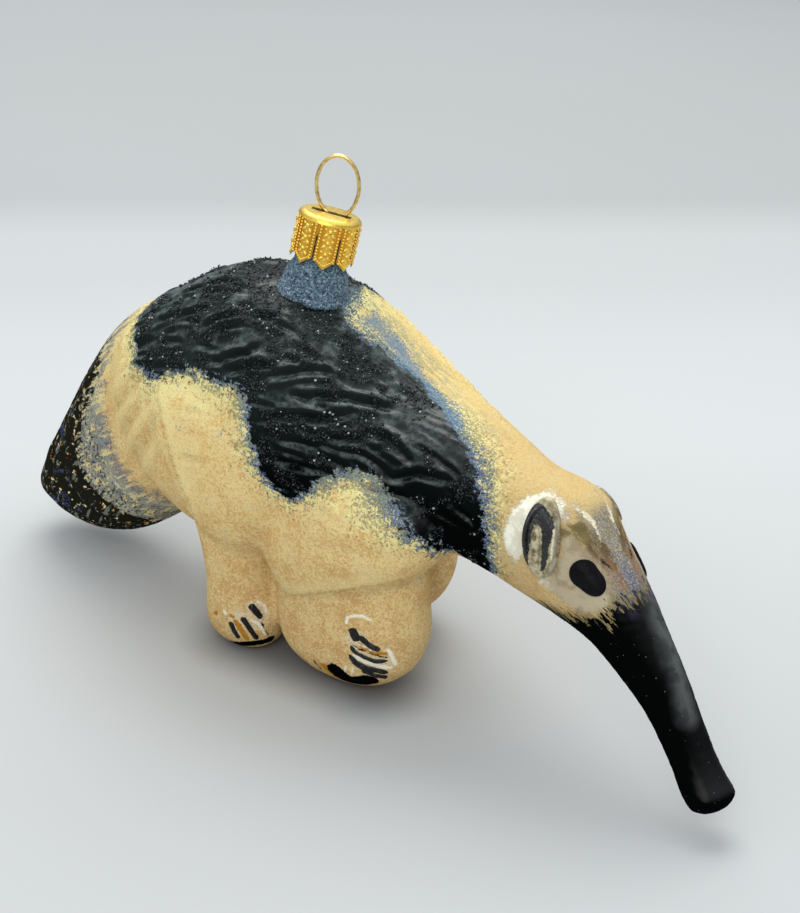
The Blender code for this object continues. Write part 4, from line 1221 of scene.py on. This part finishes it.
def make_claws(name, strokes, side, set_back):
    drops = []
    for path, half_wide in strokes:
        stations = [on_skin((x - set_back, y * side, z)) for x, y, z in path]
        drop = basic(bpy.ops.mesh.primitive_uv_sphere_add, segments=16, ring_count=22, radius=1.0,
                     rotation=(math.radians(90), 0, 0))
        last = len(stations) - 1
        for vert in drop.data.vertices:
            share = (vert.co.y + 1) / 2 * last
            k = min(int(share), last - 1)
            part = share - k
            part = part * part * (3 - 2 * part) * 0.5 + part * 0.5
            middle = stations[k][0] * (1 - part) + stations[k + 1][0] * part
            out = Vector(stations[k][1] * (1 - part) + stations[k + 1][1] * part).normalized()
            along = Vector(stations[min(k + 1, last)][0] - stations[k][0]).normalized()
            across = along.cross(out).normalized()
            squash = (1 - vert.co.y ** 2) ** -0.5 if abs(vert.co.y) < 0.999 else 0
            fat = min(1.0, 1.6 * (1 - abs(vert.co.y) ** 4)) * squash
            fat *= 1 + 0.22 * noise.noise(Vector((share * 1.7, half_wide * 9, k)))
            lift = vert.co.z * fat * 0.34 + 0.04
            spot = Vector(middle) + across * vert.co.x * fat * half_wide + out * lift
            vert.co = spot * MM
        drops.append(drop)
    piece = joined(name, *drops)
    settle(piece)
    return piece


for paw, strokes in (("front", FRONT_STROKES), ("hind", HIND_STROKES)):
    for side_name, side in (("right", 1), ("left", -1)):
        set_back = 0 if side == 1 else LEFT_BACK[paw]
        piece = make_claws(f"claws_{paw}_{side_name}_lacquer", strokes, side, set_back)
        finish_piece(piece, claw_finish, "black_gloss", f"claws_{paw}_{side_name}")

# %% [markdown]
# The glass spout leans forward and a little to the left. It is turned from one ring, pulled up and
# narrowed step by step. Its foot flares out, and each foot point is set just under the skin, so that
# no gap shows.

# %% Spout
SPOUT_FOOT = Vector((-11.67, -0.95, 73.1))
spout_up = Vector((0.124, 0.158, 0.980)).normalized()
spout_wide = Vector((math.cos(math.radians(25)), math.sin(math.radians(25)), 0))
spout_wide = (spout_wide - spout_up * spout_wide.dot(spout_up)).normalized()
spout_deep = spout_up.cross(spout_wide)
spout_turn = Matrix((spout_wide, spout_deep, spout_up)).transposed().to_4x4()
spout_frame = Matrix.Translation(SPOUT_FOOT * MM) @ spout_turn


def turned(name, profile, corners):
    """A round form: a disc pulled along its axis and widened or narrowed, step by step."""
    low, narrow = profile[0]
    piece = basic(bpy.ops.mesh.primitive_circle_add, vertices=corners, radius=narrow * MM,
                  location=(0, 0, low * MM), fill_type="NGON")
    piece.name = name
    edit()
    for high, broad in profile[1:]:
        grow(high - low, broad / narrow)
        low, narrow = high, broad
    leave_edit()
    return piece


SPOUT_PROFILE = [
    (-5.2, 7.3), (-4.2, 6.75), (-3.4, 6.35), (-2.4, 6.0), (-1.2, 5.75), (-0.1, 5.55), (0.5, 5.2),
    (1.1, 4.75), (2.0, 4.5), (5.0, 4.35), (8.6, 4.25),
]
spout = turned("glass_spout", SPOUT_PROFILE, 72)
spout.matrix_world = spout_frame
settle(spout)
for vert in spout.data.vertices:
    gap = vert.co / MM - SPOUT_FOOT
    if gap.dot(spout_up) < -4.8:
        spot, normal = on_skin(vert.co / MM)
        vert.co = Vector(spot - normal * 0.5) * MM
apply_modifier(spout, "SUBSURF", levels=2, render_levels=2)
sand = np.random.default_rng(3).normal(0, 0.045, len(spout.data.vertices))
places = read_points(spout) + read_normals(spout) * sand[:, None]
spout.data.vertices.foreach_set("co", (places * MM).ravel())
spout.data.update()

material, shader, place = new_finish("blue_sand")
speck = place.noise(2.2, 3.0, 0.65)
cell = place.cells(3.0)
patch = place.noise(0.5, 2.0)
tone = place.cells(3.0, "Color").step(0.25, 0.75).mix((0.090, 0.180, 0.235, 1), (0.20, 0.33, 0.40, 1))
tone = (patch.step(0.42, 0.60) * 0.6).mix(tone, (0.10, 0.15, 0.25, 1))
tone = speck.step(0.47, 0.38).mix(tone, (0.015, 0.030, 0.050, 1))
tone = (speck.step(0.56, 0.64) * 0.85).mix(tone, (0.52, 0.62, 0.68, 1))
connect(shader, Base_Color=tone, Roughness=0.55 + speck * 0.25, Specular_IOR_Level=0.5,
        Normal=bump(cell + speck * 0.8, 0.0004, 1.0))
finish_piece(spout, material, "blue_frost", "spout")

# %% [markdown]
# The cap is pressed from thin gilded metal. Eight tabs hang from its top, each stamped with beaded
# borders round a lattice of small beads, and narrow slits between them let the cap spring onto the glass. One
# tab is modelled flat, with its beads, then rolled onto the cap's radius, and copied round.

# %% Cap: one stamped tab
CAP_RADIUS = 5.5
CAP_TOP = 10.4
CAP_TALL = 8.6
CAP_TABS = 8
CAP_TURN = math.radians(-9)
TAB_WIDE = 2 * math.pi * CAP_RADIUS / CAP_TABS - 0.30
TAB_POINT = 1.5
METAL = 0.16


def bead(x, y, radius, long=1.0, angle=0.0, z=0.06, flat=0.9):
    """A bead, round or drawn out along an angle in degrees; those of the tab are a little flat."""
    return basic(bpy.ops.mesh.primitive_uv_sphere_add, segments=10, ring_count=6, radius=radius * MM,
                 location=(x * MM, y * MM, z * MM), rotation=(0, 0, math.radians(angle)),
                 scale=(long, 1, flat))


tab = basic(bpy.ops.mesh.primitive_grid_add, x_subdivisions=12, y_subdivisions=20, size=2)
edit()
bpy.ops.transform.resize(value=(TAB_WIDE / 2 * MM, (CAP_TALL - 0.5) / 2 * MM, 1))
bpy.ops.transform.translate(value=(0, -(CAP_TALL + 0.5) / 2 * MM, 0))
leave_edit()
for vert in tab.data.vertices:
    low = max(0.0, -vert.co.y / MM - 5.0) / (CAP_TALL - 5.0)
    vert.co.y += low * TAB_POINT * abs(vert.co.x / MM) / (TAB_WIDE / 2) * MM
    edge = abs(vert.co.x / MM) / (TAB_WIDE / 2)
    vert.co.z = (0.10 * max(0.0, 1 - (edge / 0.6) ** 2) - 0.10 * max(0.0, edge - 0.86) / 0.14) * MM
apply_modifier(tab, "SOLIDIFY", thickness=METAL * MM, offset=-1.0)
beads = []
border = TAB_WIDE / 2 - 0.36
for k in range(12):
    y = -1.05 - 0.56 * k
    beads += [bead(-border, y, 0.27), bead(border, y, 0.27)]
for k in range(4):
    x = border * (1 - (k + 0.6) / 4.6)
    y = -CAP_TALL + 0.50 + TAB_POINT * x / (TAB_WIDE / 2)
    beads += [bead(-x, y, 0.25), bead(x, y, 0.25)]
beads.append(bead(0, -CAP_TALL + 0.6, 0.28))
# One mesh of the lattice: place from its middle, radius, length as a share of that, and angle.
LATTICE = [
    (0, 0, 0.46, 1.0, 0), (-0.66, -0.72, 0.30, 1.9, 42), (0.66, -0.72, 0.30, 1.9, -42),
    (-0.78, 0.34, 0.26, 1.5, -30), (0.78, 0.34, 0.26, 1.5, 30), (0, -1.02, 0.22, 1.0, 0),
]
for k in range(3):
    middle = -1.75 - 2.05 * k
    beads += [bead(x, middle + y, radius, long, angle) for x, y, radius, long, angle in LATTICE]
beads += [bead(x, -0.72, 0.20) for x in (-1.35, -0.9, -0.45, 0.0, 0.45, 0.9, 1.35)]
tab = joined("stamped_tab", tab, *beads)
print("one tab:", len(tab.data.polygons), "faces")

# %% Cap: roll the tab, copy it round, and add the top
def rolled(piece, angle):
    """Wrap a flat piece round the cap's axis."""
    for vert in piece.data.vertices:
        turn = vert.co.x / (CAP_RADIUS * MM) + angle
        reach = CAP_RADIUS * MM + vert.co.z
        vert.co = (reach * math.cos(turn), reach * math.sin(turn), CAP_TOP * MM + vert.co.y)


tabs = []
for k in range(CAP_TABS):
    twin = add_object("tab", tab.data.copy())
    rolled(twin, 2 * math.pi * (k + 0.5) / CAP_TABS + CAP_TURN)
    tabs.append(twin)
bpy.data.objects.remove(tab)

SLOT_LONG = 7.2
SLOT_WIDE = 1.7
CROWN_RADIUS = 4.70
# The crown's edge goes down and outwards, then in again behind the tabs: drop and new radius.
CROWN_STEPS = [(0.05, 4.92), (0.14, 5.16), (0.24, 5.36), (0.22, 5.42), (0.16, 5.15), (2.10, 5.05)]
crown = basic(bpy.ops.mesh.primitive_circle_add, vertices=64, radius=CROWN_RADIUS * MM,
              location=(0, 0, CAP_TOP * MM))
edit()
bpy.ops.mesh.duplicate()
bpy.ops.transform.resize(value=(0.8, 0.8, 1))
leave_edit()
for vert in crown.data.vertices:
    if vert.co.xy.length < 4.5 * MM:
        angle = math.atan2(vert.co.y, vert.co.x)
        reach = min(SLOT_LONG / 2 / max(1e-6, abs(math.cos(angle))),
                    SLOT_WIDE / 2 / max(1e-6, abs(math.sin(angle))))
        vert.co.x = reach * math.cos(angle) * MM
        vert.co.y = reach * math.sin(angle) * MM
pick(crown)
edit()
bpy.ops.mesh.bridge_edge_loops()
bpy.ops.mesh.select_all(action="DESELECT")
leave_edit()
for edge in crown.data.edges:
    first, second = (crown.data.vertices[v].co.xy.length for v in edge.vertices)
    edge.select = min(first, second) > 4.65 * MM
edit("MARKED")
bpy.ops.mesh.select_mode(type="EDGE")
before = CROWN_RADIUS
for drop, radius in CROWN_STEPS:
    grow(-drop, radius / before)
    before = radius
leave_edit()
apply_modifier(crown, "SOLIDIFY", thickness=0.3 * MM, offset=-1.0)


RIM_BEADS = 48
RIM_RADIUS = 4.62
BEAD_STEP = 0.5
rim_beads = []
for k in range(RIM_BEADS):
    angle = 2 * math.pi * k / RIM_BEADS
    rim_beads.append(bead(RIM_RADIUS * math.cos(angle), RIM_RADIUS * math.sin(angle), 0.24,
                          z=CAP_TOP - 0.02, flat=1))
for side in (-1, 1):
    slot_places = [(-3.5 + BEAD_STEP * k, side * 1.22) for k in range(15)]
    slot_places += [(side * 3.85, -0.75 + BEAD_STEP * k) for k in range(4)]
    rim_beads += [bead(x, y, 0.21, z=CAP_TOP + 0.03, flat=1) for x, y in slot_places]
cap = joined("crown_cap", crown, *rim_beads, *tabs)
flat = read_points(cap)
raised = np.hypot(flat[:, 0], flat[:, 1]) - CAP_RADIUS
raised = np.where(flat[:, 2] > CAP_TOP - 0.62, 0.13 + 0.5 * (flat[:, 2] - CAP_TOP + 0.2), raised)
store(cap, "raised", raised)
cap.matrix_world = spout_frame
settle(cap)
pick(cap)
bpy.ops.object.shade_smooth_by_angle(angle=math.radians(40))

material, shader, place = new_finish("gilded_metal")
raised = place.attribute("raised")
dull = place.noise(1.4, 3.0)
tone = dull.step(0.35, 0.65).mix((1.0, 0.66, 0.10, 1), (1.0, 0.77, 0.17, 1))
# The metal between the raised beads is painted darker orange, and the inner faces and slits nearly black:
# painted shade in the recesses.
tone = raised.step(0.17, 0.0).mix(tone, (0.72, 0.35, 0.035, 1))
tone = raised.step(-0.12, -0.20).mix(tone, (0.06, 0.02, 0.008, 1))
connect(shader, Base_Color=tone, Roughness=0.24 + dull * 0.18, Metallic=1.0, Normal=bump(dull, 0.0001, 0.5))
finish_piece(cap, material, "gold_cap", "cap")

# %% [markdown]
# The ring is one springy wire, which leans a little in the slot. A circle the size of the wire's
# section is spun round most of an oval, and both its ends are drawn down through the slot, where they
# press against the glass.

# %% Ring
WIRE = 0.36
RING_WIDE = 3.78
RING_TALL = 5.30
RING_GAP = 0.46
RING_LEAN = math.radians(12)
RING_MIDDLE = 5.2
ring = basic(bpy.ops.mesh.primitive_circle_add, vertices=16, radius=WIRE * MM, fill_type="NGON")
ring.name = "wire_ring"
start_angle = -math.pi / 2 - RING_GAP
for vert in ring.data.vertices:
    across = RING_WIDE * MM + vert.co.x
    vert.co = (across * math.cos(start_angle), vert.co.y, across * math.sin(start_angle))
edit()
bpy.ops.mesh.spin(steps=56, angle=2 * math.pi - 2 * RING_GAP, center=(0, 0, 0), axis=(0, -1, 0))
bpy.ops.mesh.select_all(action="SELECT")
bpy.ops.mesh.remove_doubles(threshold=0.0001 * MM)
leave_edit()
print("ring faces", len(ring.data.polygons))
# The oval is stretched along its middle line only, so the wire keeps its round section.
for vert in ring.data.vertices:
    around = math.atan2(vert.co.z, vert.co.x)
    middle_line = Vector((math.cos(around), 0, math.sin(around))) * RING_WIDE * MM
    vert.co.z += middle_line.z * (RING_TALL / RING_WIDE - 1)
    x, z = vert.co.x, vert.co.z
    vert.co.x = x * math.cos(RING_LEAN) - z * math.sin(RING_LEAN)
    vert.co.z = x * math.sin(RING_LEAN) + z * math.cos(RING_LEAN) + (CAP_TOP + RING_MIDDLE) * MM
pick(ring)
edit("DESELECT")
leave_edit()
for polygon in ring.data.polygons:
    polygon.select = len(polygon.vertices) > 4
edit("MARKED")
bpy.ops.mesh.select_mode(type="FACE")
bpy.ops.mesh.extrude_faces_move(TRANSFORM_OT_shrink_fatten={"value": 0.0})
bpy.ops.transform.translate(value=(0, 0, -1.6 * MM))
leave_edit()
ring.matrix_world = spout_frame
settle(ring)

material, shader, place = new_finish("gilded_wire")
dull = place.noise(1.1, 3.0)
connect(shader, Base_Color=dull.step(0.3, 0.7).mix((0.62, 0.42, 0.12, 1), (0.90, 0.70, 0.30, 1)),
        Roughness=0.20 + dull * 0.14, Metallic=1.0)
finish_piece(ring, material, "gold_wire", "hanger")

# %% [markdown]
# Coarse sand was strewn on the wet black paint, and it stands up in clumps that catch the light; a few
# grains are painted light grey as painted glints. One grain has few faces, because there are some
# thousands of them. They lie where the skin was roughened before.

# %% Grains
GRAIN_COUNT = 5600
rng = random.Random(21)
seed_grain = basic(bpy.ops.mesh.primitive_ico_sphere_add, subdivisions=1, radius=1.0)
grain_points = np.array([v.co[:] for v in seed_grain.data.vertices])
grain_faces = np.array([p.vertices[:] for p in seed_grain.data.polygons])
bpy.data.objects.remove(seed_grain)
sheet_points = []
sheet_faces = []
places = np.where((sandy > 0.30) & (vest < -0.9))[0]
grain_glint_chances = []
for count in range(GRAIN_COUNT):
    corner = places[rng.randrange(len(places))]
    size = 0.09 + 0.20 * rng.random() ** 2
    grain_glint_chances.extend([rng.random()] * len(grain_points))
    twist = Matrix.Rotation(rng.uniform(0, 6.28), 3, "Z")
    slip = np.array([rng.uniform(-0.2, 0.2) for axis in range(3)])
    sheet_faces.extend((grain_faces + len(sheet_points) * len(grain_points)).tolist())
    sheet_points.append((grain_points * size * np.array([1, rng.uniform(0.7, 1), 0.9])) @ np.array(twist)
                        + points[corner] + slip + normals[corner] * size * 0.3)
grain_mesh = bpy.data.meshes.new("vest_sand")
grain_mesh.from_pydata((np.concatenate(sheet_points) * MM).tolist(), [], sheet_faces)
grains = add_object("vest_sand", grain_mesh)
pick(grains)
bpy.ops.object.shade_smooth()
store(grains, "tone", np.array(grain_glint_chances))
material, shader, place = new_finish("black_sand")
tone = place.noise(1.2, 2.0).step(0.45, 0.7).mix((0.006, 0.007, 0.008, 1), (0.05, 0.065, 0.07, 1))
# A few grains are painted light grey: painted glints on the sand.
tone = place.attribute("tone").step(0.90, 0.97).mix(tone, (0.40, 0.46, 0.47, 1))
connect(shader, Base_Color=tone, Roughness=0.16 + place.noise(0.7, 2.0) * 0.3)
finish_piece(grains, material, "black_gloss")

# %% [markdown]
# The table is one wide pale sheet that runs back into a soft backdrop. The line where they meet is
# level in the picture, although the camera is rolled a little, so the tones follow a direction that
# is turned by that roll. Close under the paws a painted contact shadow darkens the table, where hardly any
# light gets in.

# %% Table
clear_selection()
bpy.ops.mesh.primitive_plane_add(size=6, location=(0, 0, -0.0001))
table = bpy.context.object
table.name = "table"
material, shader, place = new_finish("pale_table")
weave = place.noise(1.2, 3.0)
cloud = place.noise(0.004, 2.0)
slope = above + back * 0.14
FORWARD = Vector((slope.x, slope.y, 0)).normalized()
far = place.vector("SUBTRACT", tuple(camera.location / MM)).vector("DOT_PRODUCT", tuple(FORWARD), "Value")
# Distance from the camera in millimetres, and how light the table is there. These tones are painted light and
# shade: lighter some way behind the animal, and darker far back on the backdrop.
TABLE_TONES = [
    (170, 0.53), (215, 0.52), (255, 0.54), (300, 0.56), (345, 0.58), (400, 0.56), (470, 0.50),
    (510, 0.49), (550, 0.405), (1400, 0.40),
]
TABLE_NEAR = TABLE_TONES[0][0]
TABLE_DEEP = TABLE_TONES[-1][0] - TABLE_NEAR
stops = [((reach - TABLE_NEAR) / TABLE_DEEP, (tone * 0.965, tone, tone * 1.01, 1))
         for reach, tone in TABLE_TONES]
share = (far - TABLE_NEAR) / TABLE_DEEP
tone = share.node("ShaderNodeValToRGB", {"stops": stops}, {0: share})
tone = (cloud.step(0.3, 0.7) * 0.10).mix(tone, (0.5, 0.52, 0.55, 1))
# A painted contact shadow darkens the table under the paws.
under = brush(place, (-17, -13, 0), (11, -12, 0), 8.5, 7.0) * 0.80
tone = under.mix(tone, (0.10, 0.10, 0.095, 1))
connect(shader, Base_Color=tone, Roughness=0.85, Specular_IOR_Level=0.2, Normal=bump(weave, 0.00005, 0.4))
table.data.materials.append(material)

# %% [markdown]
# A large window behind and above gives the back its soft sheen, along with the sheen painted on the black
# vest; a weak lamp fills the side that we see, and the sky is brighter overhead than low down. The dark low
# sky keeps the black paint black.

# %% Lamps and sky
def lamp(name, place, aim, size, power, colour):
    data = bpy.data.lights.new(name, "AREA")
    data.shape = "RECTANGLE"
    data.size = size[0]
    data.size_y = size[1]
    data.energy = power
    data.color = colour
    made = add_object(name, data)
    made.location = place
    made.rotation_euler = (Vector(aim) - Vector(place)).to_track_quat("-Z", "Y").to_euler()


lamp("window", (-0.30, 0.40, 0.85), (0, 0, 0.03), (0.7, 0.6), 5.2, (1.0, 0.99, 0.95))
lamp("fill", (0.30, -0.75, 0.60), (0, 0, 0.03), (0.6, 0.5), 2.6, (1.0, 0.97, 0.93))
world = bpy.data.worlds.new("sky")
bpy.context.scene.world = world
world.use_nodes = True
sky = Wire(world.node_tree)
steep = sky.node("ShaderNodeTexCoord", {}, {}, "Generated").axis(2)
sky_tone = steep.step(0.05, 0.85).mix((0.34, 0.37, 0.41, 1), (1.0, 1.03, 1.06, 1))
world.node_tree.links.new(sky_tone.socket, world.node_tree.nodes["Background"].inputs["Color"])
world.node_tree.nodes["Background"].inputs["Strength"].default_value = 1.0
